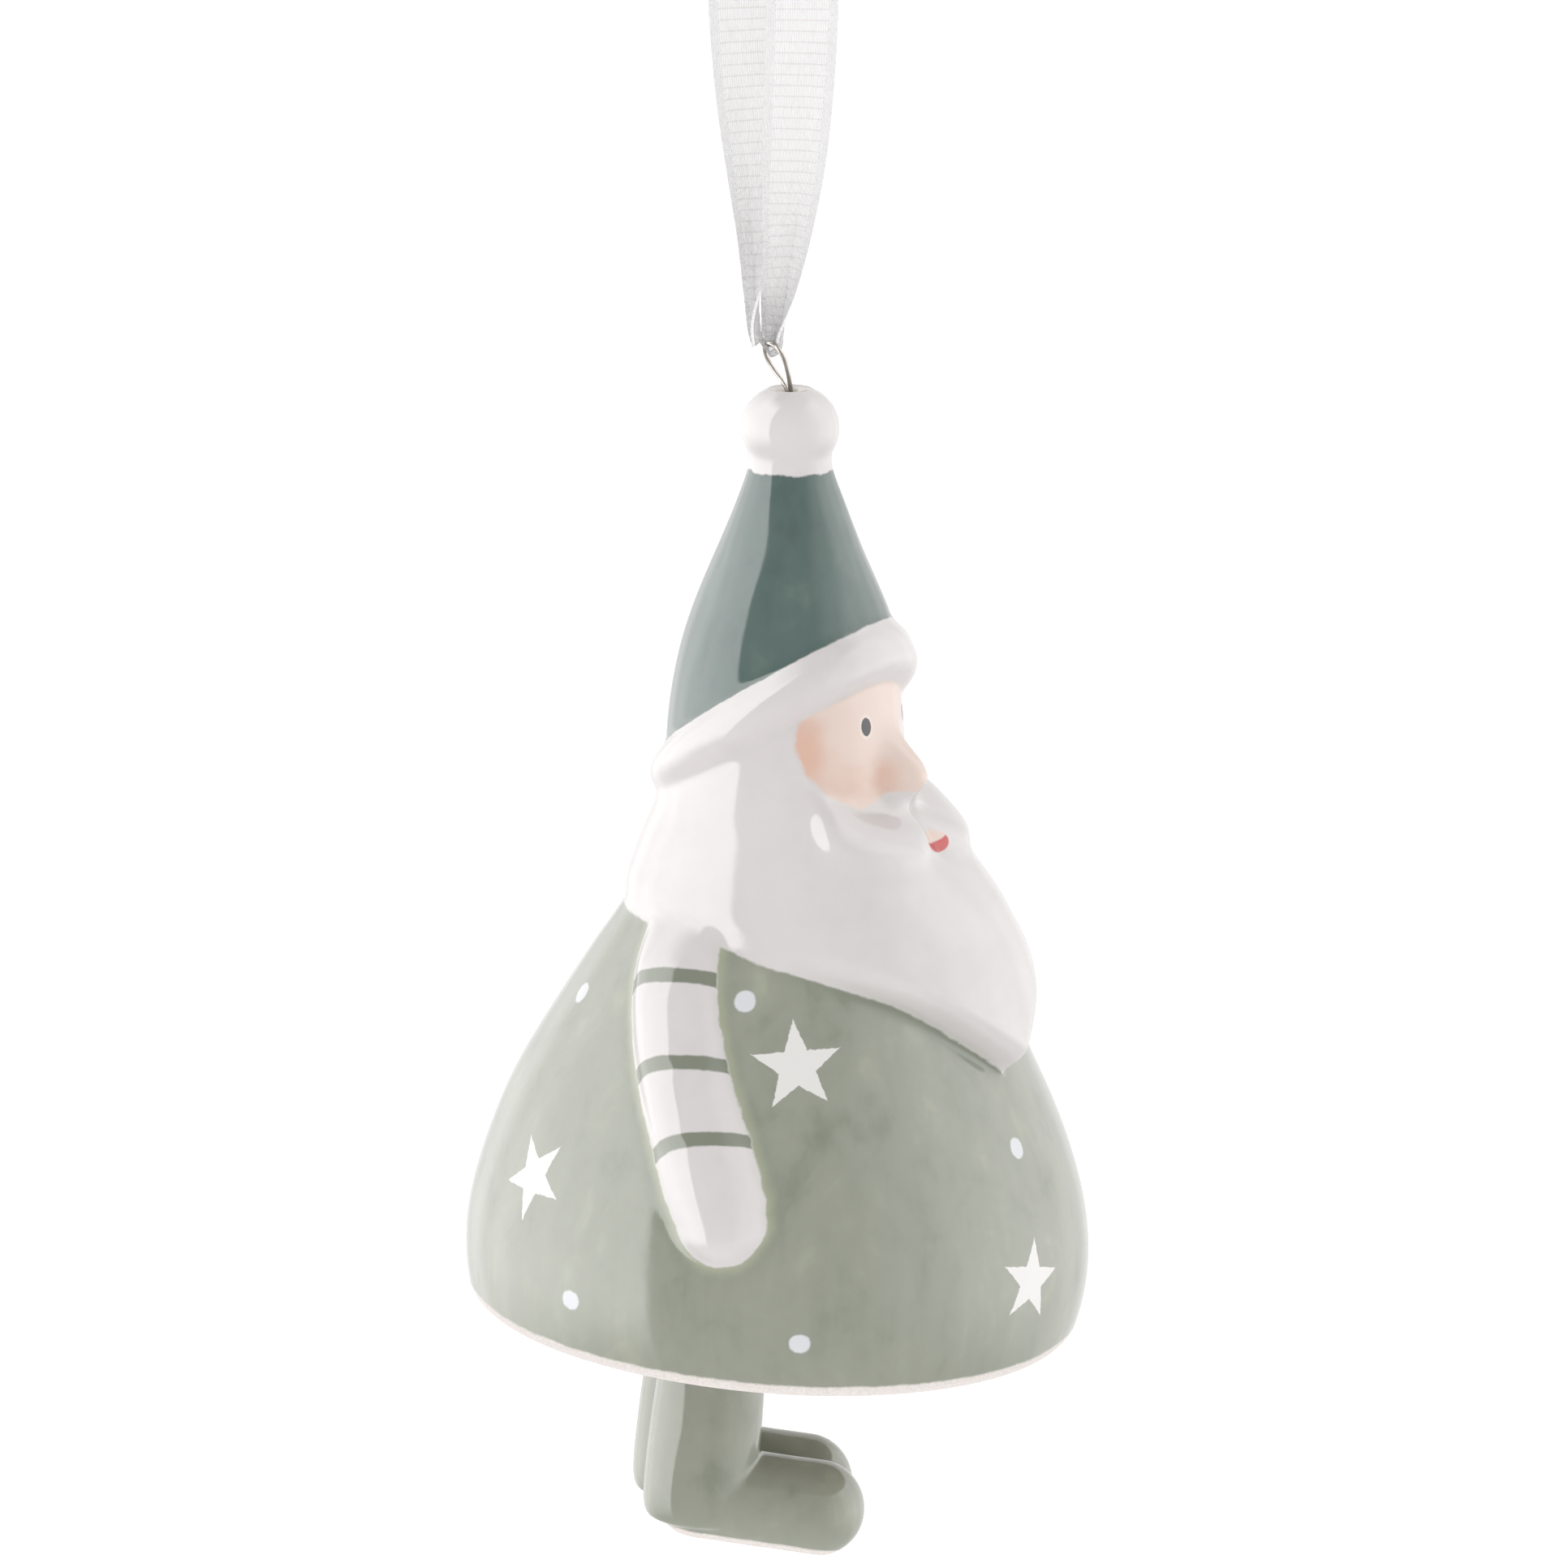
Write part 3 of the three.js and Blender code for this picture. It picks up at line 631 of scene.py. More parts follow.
def moustache_relief(turn, depth):
    """A broad soft lobe on each side, from beside the mouth out along the lower border of the face."""
    side = np.abs(np.degrees(turn))
    aside = np.maximum(0, np.maximum(6 - side, side - 42)) * 0.24
    distance = np.hypot(aside, depth - read_curve(MOUSTACHE, side)) / 2.35
    lobe = MOUSTACHE_HEIGHT * np.exp(-distance ** 2.8 * 1.1)
    dimple = 0.6 * np.exp(-(turn * 14 / 1.5) ** 2 - ((depth - MOUTH_DEPTH) / 1.1) ** 2)
    return lobe - dimple


def arm_frame(turn, depth):
    """Distance across the arm from its middle line, past its ends, and its half-width there."""
    middle = np.radians(read_curve(ARM, depth))
    across = (np.abs(turn) - middle) * figure_radius(depth) * 0.92
    past = np.maximum(0, np.maximum(depth - HAND_DEPTH, SHOULDER_DEPTH - depth))
    return across, past, read_curve(ARM_WIDTH, depth)


def arm_distance(turn, depth):
    """Signed distance in millimetres to the outline of the arm with its mittened hand."""
    across, past, half = arm_frame(turn, depth)
    thumb_turn = (np.abs(turn) - math.radians(THUMB[0])) * figure_radius(depth) * 0.92
    thumb = np.hypot(thumb_turn, (depth - THUMB[1]) / 1.35) - THUMB_RADIUS
    return np.minimum(np.hypot(across, past) - half, thumb)


def arm_relief(turn, depth):
    across, _, half = arm_frame(turn, depth)
    inside = np.maximum(0, -arm_distance(turn, depth))
    raised = mound(np.maximum(0, half - inside), half, ARM_HEIGHT) * smoothstep(depth, 40.5, 47)
    groove = np.zeros_like(depth)
    for band in BANDS:
        groove += 0.1 * np.exp(-((band_depth(across, depth) - band) / 0.5) ** 2)
    return np.maximum(0, raised - groove * (raised > 0.3))


def soft_max(first, second, soft=0.5):
    """The larger of two heights, with a small fillet where they meet."""
    mixed = np.maximum(0, soft - np.abs(first - second))
    return np.maximum(first, second) + mixed ** 2 / (4 * soft) * (np.minimum(first, second) > 0.02)


def band_depth(across, depth):
    """Depth measured along the arm, so that a band runs square across it with a slight arch."""
    return depth - 0.2 * across - 0.075 * across ** 2


def shift_at(depth):
    return BODY_SHIFT * smoothstep(depth, 45, 60)


def shifted_radius(turn, radius, shift):
    back = -np.cos(turn) * shift
    return back + np.sqrt(radius ** 2 - shift ** 2 + back ** 2)


def hand_made(turn, depth):
    """The slow unevenness of a cast and dipped surface."""
    return (0.05 * np.sin(3 * turn + depth / 5.1) * np.sin(depth / 7.3 + 1.1)
            + 0.035 * np.sin(7 * turn - depth / 3.7) + 0.03 * np.sin(5 * turn + depth / 2.3 + 2))


def outer_radius(turn, depth):
    plain = shifted_radius(turn, figure_radius(depth), shift_at(depth))
    head = brim_relief(turn, depth) + nose_relief(turn, depth) + moustache_relief(turn, depth)
    relief = soft_max(beard_relief(turn, depth) + head, arm_relief(turn, depth))
    return plain + relief + hand_made(turn, depth) * smoothstep(depth, 6, 14)


def inner_radius(turn, depth):
    opened = read_curve([(CAVITY_TOP, 1.7), (13.2, 2.5), (17, 4.3)], depth)
    radius = np.minimum(np.where(depth < 17, opened, np.inf), figure_radius(depth) - WALL)
    return shifted_radius(turn, radius, shift_at(depth))


def soften(values, times, axis):
    """Averages each value with its neighbours along one axis."""
    for _ in range(times):
        before, after = np.roll(values, 1, axis), np.roll(values, -1, axis)
        if axis == 0:
            before[0], after[-1] = values[0], values[-1]
        values = (before + 2 * values + after) / 4
    return values


def bell_grid():
    """Points of the wall, row by row: bore, pompom, outside, rim and inside, with what each is."""
    columns = 306
    even = np.linspace(-np.pi, np.pi, columns, endpoint=False)
    turn = even - 0.3 * np.sin(even)
    cap = POMPOM_CENTRE - POMPOM_RADIUS * np.cos(np.radians(np.linspace(18.5, 115, 25)))
    side = np.linspace(5.3, 78.1, 250)
    rim = RIM_DEPTH - RIM_ROUND * (1 - np.sin(np.linspace(0, np.pi / 2, 7)))
    outer = np.concatenate([cap, side, rim])
    inner = np.concatenate([[RIM_DEPTH, 79.0, 78.6], np.linspace(77, 17, 26), [15, 13.2, 12.2, CAVITY_TOP]])
    bore = np.array([CAVITY_TOP, 8, 4, 1.2, 0.5])
    t, d = np.meshgrid(turn, outer)
    sheared = smoothstep(d, 60, RIM_DEPTH) * RIM_SLANT * np.cos(t)
    rounded = np.maximum(0, RIM_ROUND - (RIM_DEPTH - d))
    radius = outer_radius(t, d + sheared)
    radius = soften(soften(radius, 2, 0), 2, 1)
    radius = radius - RIM_ROUND + np.sqrt(RIM_ROUND ** 2 - rounded ** 2)
    outer_part = (t, d + sheared, radius)
    t, d = np.meshgrid(turn, inner)
    sheared = smoothstep(d, 60, RIM_DEPTH) * RIM_SLANT * np.cos(t)
    ease = np.maximum(0, 0.3 - (RIM_DEPTH - d))
    inner_part = (t, d + sheared, inner_radius(t, d + sheared) + ease)
    t, d = np.meshgrid(turn, bore)
    bore_part = (t, d, np.full_like(d, BORE_RADIUS))
    parts = [bore_part, outer_part, inner_part]
    turn, depth, radius = (np.vstack([part[k] for part in parts]) for k in range(3))
    kind = np.concatenate([np.full(part[0].size, k) for k, part in enumerate(parts)])
    return turn, depth, radius, kind


def hollows(radius, times=26):
    """How far the surface lies below its own blurred copy: positive in creases, negative on ridges."""
    return soften(soften(radius, times, 0), times, 1) - radius


def star_places(turn, depth, radius):
    """Each point's place about its nearest star, turned so that the star's first point is up."""
    nearest = np.full(turn.shape, np.inf)
    place = np.zeros((*turn.shape, 3))
    for angle, star_depth, spin in STARS:
        u = np.angle(np.exp(1j * (turn - math.radians(angle)))) * radius
        v = (star_depth - depth) * 1.1
        spin = math.radians(spin)
        closer = np.hypot(u, v) < nearest
        nearest = np.where(closer, np.hypot(u, v), nearest)
        turned = np.stack([u * math.cos(spin) - v * math.sin(spin),
                           u * math.sin(spin) + v * math.cos(spin), nearest], axis=-1)
        place = np.where(closer[..., None], turned, place)
    return place


def nearest_dot(turn, depth, radius):
    nearest = np.full(turn.shape, 99.0)
    for angle, dot_depth in DOTS:
        u = np.angle(np.exp(1j * (turn - math.radians(angle)))) * radius
        nearest = np.minimum(nearest, np.hypot(u, (depth - dot_depth) * 1.1))
    return nearest


def blush(turn, depth):
    """Where the skin is warmer: by the hairline, on the cheeks and round the nose."""
    side = np.abs(np.degrees(turn))
    hairline = np.exp(-((side - 56) / 13) ** 2 - ((depth - 29.5) / 3.6) ** 2)
    cheek = 0.55 * np.exp(-((side - 30) / 14) ** 2 - ((depth - 32) / 2.2) ** 2)
    nose = 0.6 * np.exp(-((side - 13) / 6) ** 2 - ((depth - 31.6) / 2.0) ** 2)
    return hairline + cheek + nose


def add_bell():
    turn, depth, radius, kind = bell_grid()
    z = CROWN_Z - depth
    grid = np.stack([radius * np.sin(turn), -radius * np.cos(turn), z], axis=-1)
    bell = grid_mesh("ceramic_bell", grid, closed_rows=True)
    flip_if_inside_out(bell)
    across, _, _ = arm_frame(turn, depth)
    face_turn, face_depth = EYE_PLACE
    eye = np.hypot((np.abs(turn) - face_turn) * radius / 0.55, (depth - face_depth) / 0.78)
    lip_across = turn * 14 / 1.75
    lip = np.hypot(lip_across, (depth - MOUTH_DEPTH) / 0.85)
    marks = {
        "depth": depth,
        "hat_edge": depth - hat_edge(turn),
        "face": outside_skin(turn, depth),
        "beard_edge": depth - beard_edge(turn),
        "arm": arm_distance(turn, depth),
        "band": band_depth(across, depth),
        "dot": nearest_dot(turn, depth, radius),
        "eye": eye,
        "lip": lip,
        "lip_up": depth - (MOUTH_DEPTH + 0.1 - 0.45 * lip_across ** 2),
        "blush": blush(turn, depth),
        "hollow": hollows(radius),
    }
    for name, values in marks.items():
        store(bell, name, values.ravel())
    store(bell, "star", star_places(turn, depth, radius).reshape(-1, 3))
    store(bell, "inside", (kind != 1).astype(float))
    store(bell, "rim", np.abs(depth - smoothstep(RIM_DEPTH, 60, RIM_DEPTH) * RIM_SLANT * np.cos(turn)
                              - RIM_DEPTH).ravel())
    bell.data.materials.append(bell_material())
    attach(bell, "bell")
    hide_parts("bell_shell")


def flip_if_inside_out(piece):
    """Turns the faces outwards: a closed body's signed volume is positive when they are."""
    mesh = piece.data
    mesh.calc_loop_triangles()
    corners = np.array([t.vertices[:] for t in mesh.loop_triangles])
    a, b, c = (vertices(piece)[corners[:, k]] for k in range(3))
    if np.sum(a * np.cross(b, c)) < 0:
        mesh.flip_normals()


# ---- The glazes ----

SAGE = [srgb(149, 153, 139), srgb(126, 132, 117), srgb(166, 170, 150)]
TEAL = [srgb(84, 104, 99), srgb(66, 86, 82), srgb(104, 122, 114)]
WHITE = [srgb(220, 216, 215), srgb(206, 202, 201)]
SKIN = [srgb(226, 207, 196), srgb(220, 182, 163)]
INK = srgb(52, 54, 56)
LIP_RED = srgb(196, 62, 60)
BARE_CLAY = srgb(236, 231, 228)


def washed(p, colours, hollow, strokes, pools=0.75):
    """A brushed glaze: blotches, strokes, dark pools in the creases and a pale break on the ridges."""
    plain, dark, pale = colours
    blotch = p.noise(7.0, 4, warp=0.8)
    small = p.noise(1.6, 5)
    stroke = p.noise(2.4, 4, p.stretched(*strokes))
    tone = p.add(p.times(blotch, 1.5), p.times(stroke, 1.1), p.times(small, 0.5))
    colour = p.mix(p.fade(tone, -0.1, 0.85), plain, dark)
    colour = p.mix(p.fade(tone, -0.05, -0.8), colour, pale)
    colour = p.mix(p.fade(hollow, 0.05, 0.55, 0.0, pools), colour, dark)
    return p.mix(p.fade(hollow, -0.08, -0.5, 0.0, 0.6), colour, pale)


def white_glaze(p, hollow):
    tone = p.add(p.times(p.noise(9.0, 3), 1.0), p.times(p.noise(1.5, 4), 0.3))
    colour = p.mix(p.fade(tone, -0.3, 0.7), WHITE[0], WHITE[1])
    return p.mix(p.fade(hollow, 0.1, 0.7, 0.0, 0.5), colour, srgb(190, 190, 180))


def star_distance(p):
    """Signed distance in millimetres to the outline of a five-pointed star."""
    x, y, nearest = p.stored_vector("star")
    fifth = 2 * math.pi / 5
    turns = p.math("DIVIDE", p.math("ARCTAN2", x, y), fifth)
    folded = p.times(p.math("ABSOLUTE", p.math("SUBTRACT", turns, p.math("ROUND", turns))), fifth)
    reach = p.math("SQRT", p.add(p.times(x, x), p.times(y, y)))
    along = p.math("SUBTRACT", p.times(reach, p.math("COSINE", folded)), STAR_TIP)
    aside = p.times(reach, p.math("SINE", folded))
    run = STAR_NOTCH * math.cos(fifth / 2) - STAR_TIP
    rise = STAR_NOTCH * math.sin(fifth / 2)
    side = math.hypot(run, rise)
    outline = p.math("SUBTRACT", p.times(along, rise / side), p.times(aside, run / side))
    return p.math("MAXIMUM", outline, p.math("SUBTRACT", nearest, STAR_TIP + 0.2))


def bell_material():
    p = Paint("painted_glaze")
    hollow = p.stored("hollow")
    wobble = p.noise(1.4, 3)
    fine = p.noise(0.45, 3)
    hand = p.add(p.times(wobble, 0.55), p.times(fine, 0.18))
    white = white_glaze(p, hollow)

    sage = washed(p, SAGE, hollow, (1.0, 1.0, 0.16))
    teal = washed(p, TEAL, hollow, (1.0, 1.0, 0.12))
    star = p.inside(p.add(star_distance(p), p.times(fine, 0.25)), 0.05)
    dot = p.inside(p.add(p.math("SUBTRACT", p.stored("dot"), DOT_RADIUS), p.times(wobble, 0.3)), 0.12)
    colour = p.mix(star, sage, srgb(229, 228, 225))
    colour = p.mix(dot, colour, srgb(218, 220, 224))

    arm = p.add(p.stored("arm"), p.times(hand, 0.8))
    halo = p.times(p.fade(arm, 1.1, 0.0), 0.55)
    colour = p.mix(halo, colour, srgb(178, 183, 156))
    colour = p.mix(p.inside(arm, 0.12), colour, white)
    for band in BANDS:
        line = p.math("SUBTRACT", p.math("ABSOLUTE", p.math("SUBTRACT", p.stored("band"), band)), BAND_HALF)
        line = p.math("MAXIMUM", p.add(line, p.times(hand, 0.35)), p.add(arm, 0.05))
        colour = p.mix(p.inside(line, 0.1), colour, SAGE[1])

    above_beard = p.inside(p.add(p.stored("beard_edge"), p.times(hand, 0.7)), 0.14)
    colour = p.mix(above_beard, colour, white)
    skin_tone = p.add(p.stored("blush"), p.times(p.noise(2.2, 3), 0.7))
    skin = p.mix(p.fade(skin_tone, 0.1, 1.0), SKIN[0], SKIN[1])
    face = p.add(p.stored("face"), p.times(hand, 0.9), 0.15)
    colour = p.mix(p.inside(face, 0.2), colour, skin)
    eye = p.add(p.stored("eye"), p.times(fine, 0.15))
    colour = p.mix(p.fade(eye, 1.5, 1.15, 0.0, 0.5), colour, srgb(236, 226, 218))
    colour = p.mix(p.fade(eye, 1.05, 0.92), colour, INK)
    lip = p.stored("lip")
    low = p.fade(p.stored("lip_up"), -0.08, 0.08)
    above = p.math("SUBTRACT", 1.0, low)
    colour = p.mix(p.times(p.fade(lip, 1.08, 0.95), above), colour, SKIN[0])
    colour = p.mix(p.times(p.fade(lip, 1.02, 0.9), low), colour, LIP_RED)

    on_hat = p.inside(p.add(p.stored("hat_edge"), p.times(hand, 0.45)), 0.1)
    colour = p.mix(on_hat, colour, teal)
    on_pompom = p.inside(p.add(p.math("SUBTRACT", p.stored("depth"), 7.0), p.times(hand, 1.2)), 0.12)
    colour = p.mix(on_pompom, colour, white)
    colour = p.mix(p.times(p.specks(3.4, 0.16, 0.16), 0.7), colour, srgb(120, 100, 84))

    inside = p.stored("inside")
    slip = p.mix(p.fade(p.noise(4.0, 4), -0.3, 0.4), srgb(236, 230, 224), srgb(214, 208, 200))
    colour = p.mix(p.fade(inside, 0.3, 0.7), colour, slip)
    bare = p.inside(p.add(p.math("SUBTRACT", p.stored("rim"), 1.05), p.times(hand, 0.5)), 0.15)
    grain = p.noise(0.25, 3)
    clay = p.mix(p.fade(grain, -0.3, 0.3), BARE_CLAY, srgb(220, 212, 206))
    colour = p.mix(bare, colour, clay)

    gloss = p.fade(p.noise(3.0, 3), -0.4, 0.4, 0.05, 0.13)
    p.bump((p.noise(5.0, 1), 0.05), (p.noise(1.2, 2), 0.006), (p.times(grain, bare), 0.05))
    return p.finish(colour, p.blend(bare, gloss, 0.75))


# ---- The clapper ----

PIVOT = np.array([0, 6, CROWN_Z - 58])
LEG_TURN = math.radians(35)
LEG_LEAN = math.radians(6)
LEG_SPACING = 7.9
LEG_FORWARD = 1.1
LEG_PROFILE = [
    (-40, 3.0), (-39.75, 3.9), (-39.2, 4.3), (-38, 4.55), (-34, 4.6), (-30, 4.55), (-24, 4.3), (-16, 4.15),
    (-8, 4.1), (-6.4, 3.95), (-5.2, 3.4), (-4.4, 2.5), (-3.7, 1.2), (-3.4, 0.1),
]
SOLE_HEIGHT = -40.9
SOLE_PITCH = math.radians(4.6)
TOE_RADIUS = 4.05
TOE_REACH = 10
LUG_HOLE = 1.25
LUG_THICKNESS = 2.6
VOXEL = 0.2


def turned_y(points, angle):
    c, s = math.cos(angle), math.sin(angle)
    x, y, z = points.T
    return np.column_stack([x * c + z * s, y, z * c - x * s])


def turned_z(points, angle):
    c, s = math.cos(angle), math.sin(angle)
    x, y, z = points.T
    return np.column_stack([x * c - y * s, x * s + y * c, z])


def in_clapper(points):
    """From the clapper's own frame, toes along +X and the pivot at the origin, to the object's."""
    return turned_z(points, LEG_TURN - math.pi / 2) + PIVOT


def lathe(name, profile, columns=48):
    """A body of revolution about Z from (height, radius) pairs."""
    z, radius = np.array(profile, float).T
    angle = np.linspace(0, 2 * np.pi, columns, endpoint=False)
    grid = np.stack([radius[:, None] * np.cos(angle), radius[:, None] * np.sin(angle),
                     np.repeat(z[:, None], columns, axis=1)], axis=-1)
    return grid_mesh(name, grid, capped=True)


def set_vertices(piece, points):
    piece.data.vertices.foreach_set("co", (points * MM).ravel())
    piece.data.update()


def leg_parts(side):
    z = np.linspace(-40, -3.4, 90)
    column = lathe("leg", np.column_stack([z, read_curve(LEG_PROFILE, z)]))
    points = vertices(column) / MM * (1.04, 0.93, 1)
    set_vertices(column, points + (LEG_FORWARD, side, 0))
    angle = np.linspace(-89, 89, 60)
    half = TOE_REACH / 2
    ends = np.sin(np.radians(angle)) * TOE_RADIUS
    profile = np.column_stack([ends + np.sign(ends) * half, np.cos(np.radians(angle)) * TOE_RADIUS])
    toe = lathe("toe", profile)
    z_up = vertices(toe) / MM
    lying = np.column_stack([z_up[:, 2] + half, 0.98 * z_up[:, 1], 1.02 * z_up[:, 0] + TOE_RADIUS - 0.5])
    set_vertices(toe, turned_y(lying, SOLE_PITCH) + (LEG_FORWARD, side, SOLE_HEIGHT))
    return [column, toe]


def lug_part():
    """The pierced lug that joins the legs: a ring whose lower half runs down between them."""
    angle = np.linspace(0, 2 * np.pi, 64, endpoint=False)
    outer = np.column_stack([3.3 * np.cos(angle), 3.3 * np.sin(angle)])
    low = outer[:, 1] < 0
    outer[low] = np.column_stack([3.45 * np.sign(outer[low, 0]) * np.abs(np.cos(angle[low])) ** 0.3,
                                  -9 * np.abs(np.sin(angle[low]))])
    hole = np.column_stack([LUG_HOLE * np.cos(angle), LUG_HOLE * np.sin(angle)])
    half = LUG_THICKNESS / 2
    loops = [(outer, -half), (outer, half), (hole, half), (hole, -half)]
    grid = np.stack([np.column_stack([c[:, 0], np.full(64, y), c[:, 1] - LUG_HOLE / 3])
                     for c, y in loops])
    return grid_mesh("lug", grid, closed_rows=True)


def neighbour_mean(points, edges, count):
    total = np.zeros_like(points)
    for k in range(3):
        total[:, k] = (np.bincount(edges[:, 0], points[edges[:, 1], k], len(points))
                       + np.bincount(edges[:, 1], points[edges[:, 0], k], len(points)))
    return total / count[:, None]


def edge_table(piece):
    edges = np.zeros(len(piece.data.edges) * 2, int)
    piece.data.edges.foreach_get("vertices", edges)
    edges = edges.reshape(-1, 2)
    return edges, np.maximum(1, np.bincount(edges.ravel(), minlength=len(piece.data.vertices)))


def relaxed(points, edges, count, times):
    for _ in range(times):
        points = 0.5 * points + 0.5 * neighbour_mean(points, edges, count)
    return points


def above_sole(points):
    """Height of points of the clapper's own frame above the sole's plane."""
    return turned_y(points - (0, 0, SOLE_HEIGHT), -SOLE_PITCH)[:, 2]


def add_legs():
    parts = [part for sign in (1, -1) for part in leg_parts(sign * LEG_SPACING / 2)] + [lug_part()]
    legs = join(parts, "booted_legs")
    remesh = legs.modifiers.new("remesh", "REMESH")
    remesh.mode = "VOXEL"
    remesh.voxel_size = VOXEL * MM
    remesh.use_smooth_shade = True
    bpy.context.view_layer.objects.active = legs
    bpy.ops.object.modifier_apply(modifier="remesh")
    edges, count = edge_table(legs)
    points = relaxed(vertices(legs) / MM, edges, count, 7)
    height = above_sole(points)
    on_plane = turned_y(np.array([[0, 0, 1.0]]), SOLE_PITCH)[0]
    points = points - np.minimum(height, 0)[:, None] * on_plane
    points = points + 0.03 * np.sin(points[:, [2]] / 2.1 + points[:, [0]]) * (1, 1, 0)
    set_vertices(legs, in_clapper(turned_y(points, LEG_LEAN)))
    normals = np.zeros(len(points) * 3)
    legs.data.vertices.foreach_get("normal", normals)
    flat = relaxed(vertices(legs) / MM, edges, count, 40) - vertices(legs) / MM
    store(legs, "hollow", np.sum(flat * normals.reshape(-1, 3), axis=1))
    store(legs, "above_sole", np.maximum(height, 0))
    store(legs, "below_pivot", -points[:, 2])
    legs.data.materials.append(leg_material())
    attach(legs, "legs")
    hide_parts("leg_pair")


def leg_material():
    p = Paint("boot_glaze")
    hollow = p.stored("hollow")
    hand = p.add(p.times(p.noise(1.4, 3), 0.5), p.times(p.noise(0.4, 3), 0.15))
    colour = washed(p, SAGE, hollow, (1.0, 1.0, 0.2), 0.3)
    top = p.fade(p.add(p.stored("below_pivot"), p.times(hand, 2.0)), 5.0, 3.0)
    sole = p.inside(p.add(p.math("SUBTRACT", p.stored("above_sole"), 0.7), p.times(hand, 0.5)), 0.15)
    bare = p.math("MAXIMUM", sole, top)
    grain = p.noise(0.25, 3)
    colour = p.mix(bare, colour, p.mix(p.fade(grain, -0.3, 0.3), BARE_CLAY, srgb(218, 208, 200)))
    colour = p.mix(p.times(p.specks(3.0, 0.14, 0.2), 0.6), colour, srgb(110, 96, 80))
    p.bump((p.noise(4.0, 1), 0.04), (p.noise(1.0, 2), 0.006), (p.times(grain, bare), 0.05))
    gloss = p.fade(p.noise(3.0, 3), -0.4, 0.4, 0.05, 0.13)
    return p.finish(colour, p.blend(bare, gloss, 0.75))


# ---- Wires and bead ----

LINK_HEIGHT = 8
LINK_WIDTH = 6
LINK_WIRE = 0.25
GAP = 0.3
LOWER_EYE_RADIUS = 1.25
BEAD_DEPTH = 14.1
BEAD_RADIUS = 1.85
BEAD_BORE = 0.95


def hanger_route():
    """A tail under the bead, up through the crown, round the eye, down again and round the lower eye."""
    flat_way = unit(EYE_WIDE * (1, 1, 0))

    def shank(sign, depth):
        return UP * (CROWN_Z - depth) + flat_way * sign * 0.32

    toe_way = np.array([math.sin(LEG_TURN), -math.cos(LEG_TURN), 0])
    eye_bottom = PIVOT[2] + LINK_HEIGHT - LINK_WIRE - GAP - WIRE
    eye_centre = np.array([0, PIVOT[1], eye_bottom + LOWER_EYE_RADIUS])
    points = [
        shank(-2.6, 17.2), shank(-1, 15.6), shank(-1, 13), shank(-1, 7), shank(-1, 2.2), shank(-1, 0.4),
        on_eye(-1.1, 1.5), on_eye(-1.45, 2.8), on_eye(-1.05, 3.75), on_eye(0, EYE_HEIGHT),
        on_eye(1.05, 3.75), on_eye(1.45, 2.8), on_eye(1.1, 1.5), shank(1, 0.4), shank(1, 2.2),
        shank(1, 7), shank(1, 13), shank(1, 16), shank(1, 20),
        np.array([0, PIVOT[1] * 0.45, CROWN_Z - 32]), np.array([0, PIVOT[1] * 0.95, CROWN_Z - 43]),
    ]
    for degrees in (70, 20, -30, -80, -130, -180, -230):
        a = math.radians(degrees)
        points.append(eye_centre + LOWER_EYE_RADIUS * (math.cos(a) * toe_way + math.sin(a) * UP))
    return points


def steel_material():
    p = Paint("drawn_steel")
    streak = p.noise(0.5, 4, p.stretched(1.0, 1.0, 0.25))
    stain = p.noise(2.5, 3)
    colour = p.mix(p.fade(p.add(streak, stain), -0.4, 0.5), srgb(176, 172, 166), srgb(118, 112, 106))
    p.shader.inputs["Metallic"].default_value = 1.0
    p.bump((streak, 0.01), (p.noise(0.15, 3), 0.006))
    return p.finish(colour, p.fade(streak, -0.4, 0.4, 0.22, 0.42))


def bead_material():
    p = Paint("turned_beech")
    grain = p.noise(0.5, 4, p.stretched(1.0, 1.0, 0.22), warp=0.6)
    pore = p.noise(0.2, 3, p.stretched(1.0, 1.0, 0.3))
    colour = p.mix(p.fade(grain, -0.3, 0.3), srgb(198, 170, 130), srgb(160, 126, 88))
    colour = p.mix(p.fade(pore, 0.18, 0.3, 0.0, 0.5), colour, srgb(112, 82, 54))
    p.bump((grain, 0.03), (pore, 0.02))
    return p.finish(colour, p.fade(pore, -0.3, 0.3, 0.42, 0.6))


def add_wires():
    steel = steel_material()
    hanger = sweep("steel_hanger", smooth_line(hanger_route(), 420), WIRE)
    angle = np.linspace(0, 2 * np.pi, 120, endpoint=False)
    ring = LINK_WIDTH / 2 * np.column_stack([np.zeros(120), np.cos(angle), np.sin(angle)])
    stretch = (LINK_HEIGHT - LINK_WIDTH) / 2
    ring[:, 2] += np.clip(ring[:, 2], -1, 1) * stretch + LINK_HEIGHT / 2
    weld = 1 + 0.22 * np.exp(-((angle - np.pi / 2) / 0.07) ** 2)
    link = sweep("steel_link", in_clapper(ring), LINK_WIRE * weld, closed=True, across=UP)
    for piece, node in ((hanger, "hanger_wire"), (link, "clapper_link")):
        flip_if_inside_out(piece)
        piece.data.materials.append(steel)
        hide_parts(node)
    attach(hanger, "hanger")
    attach(link, "link")


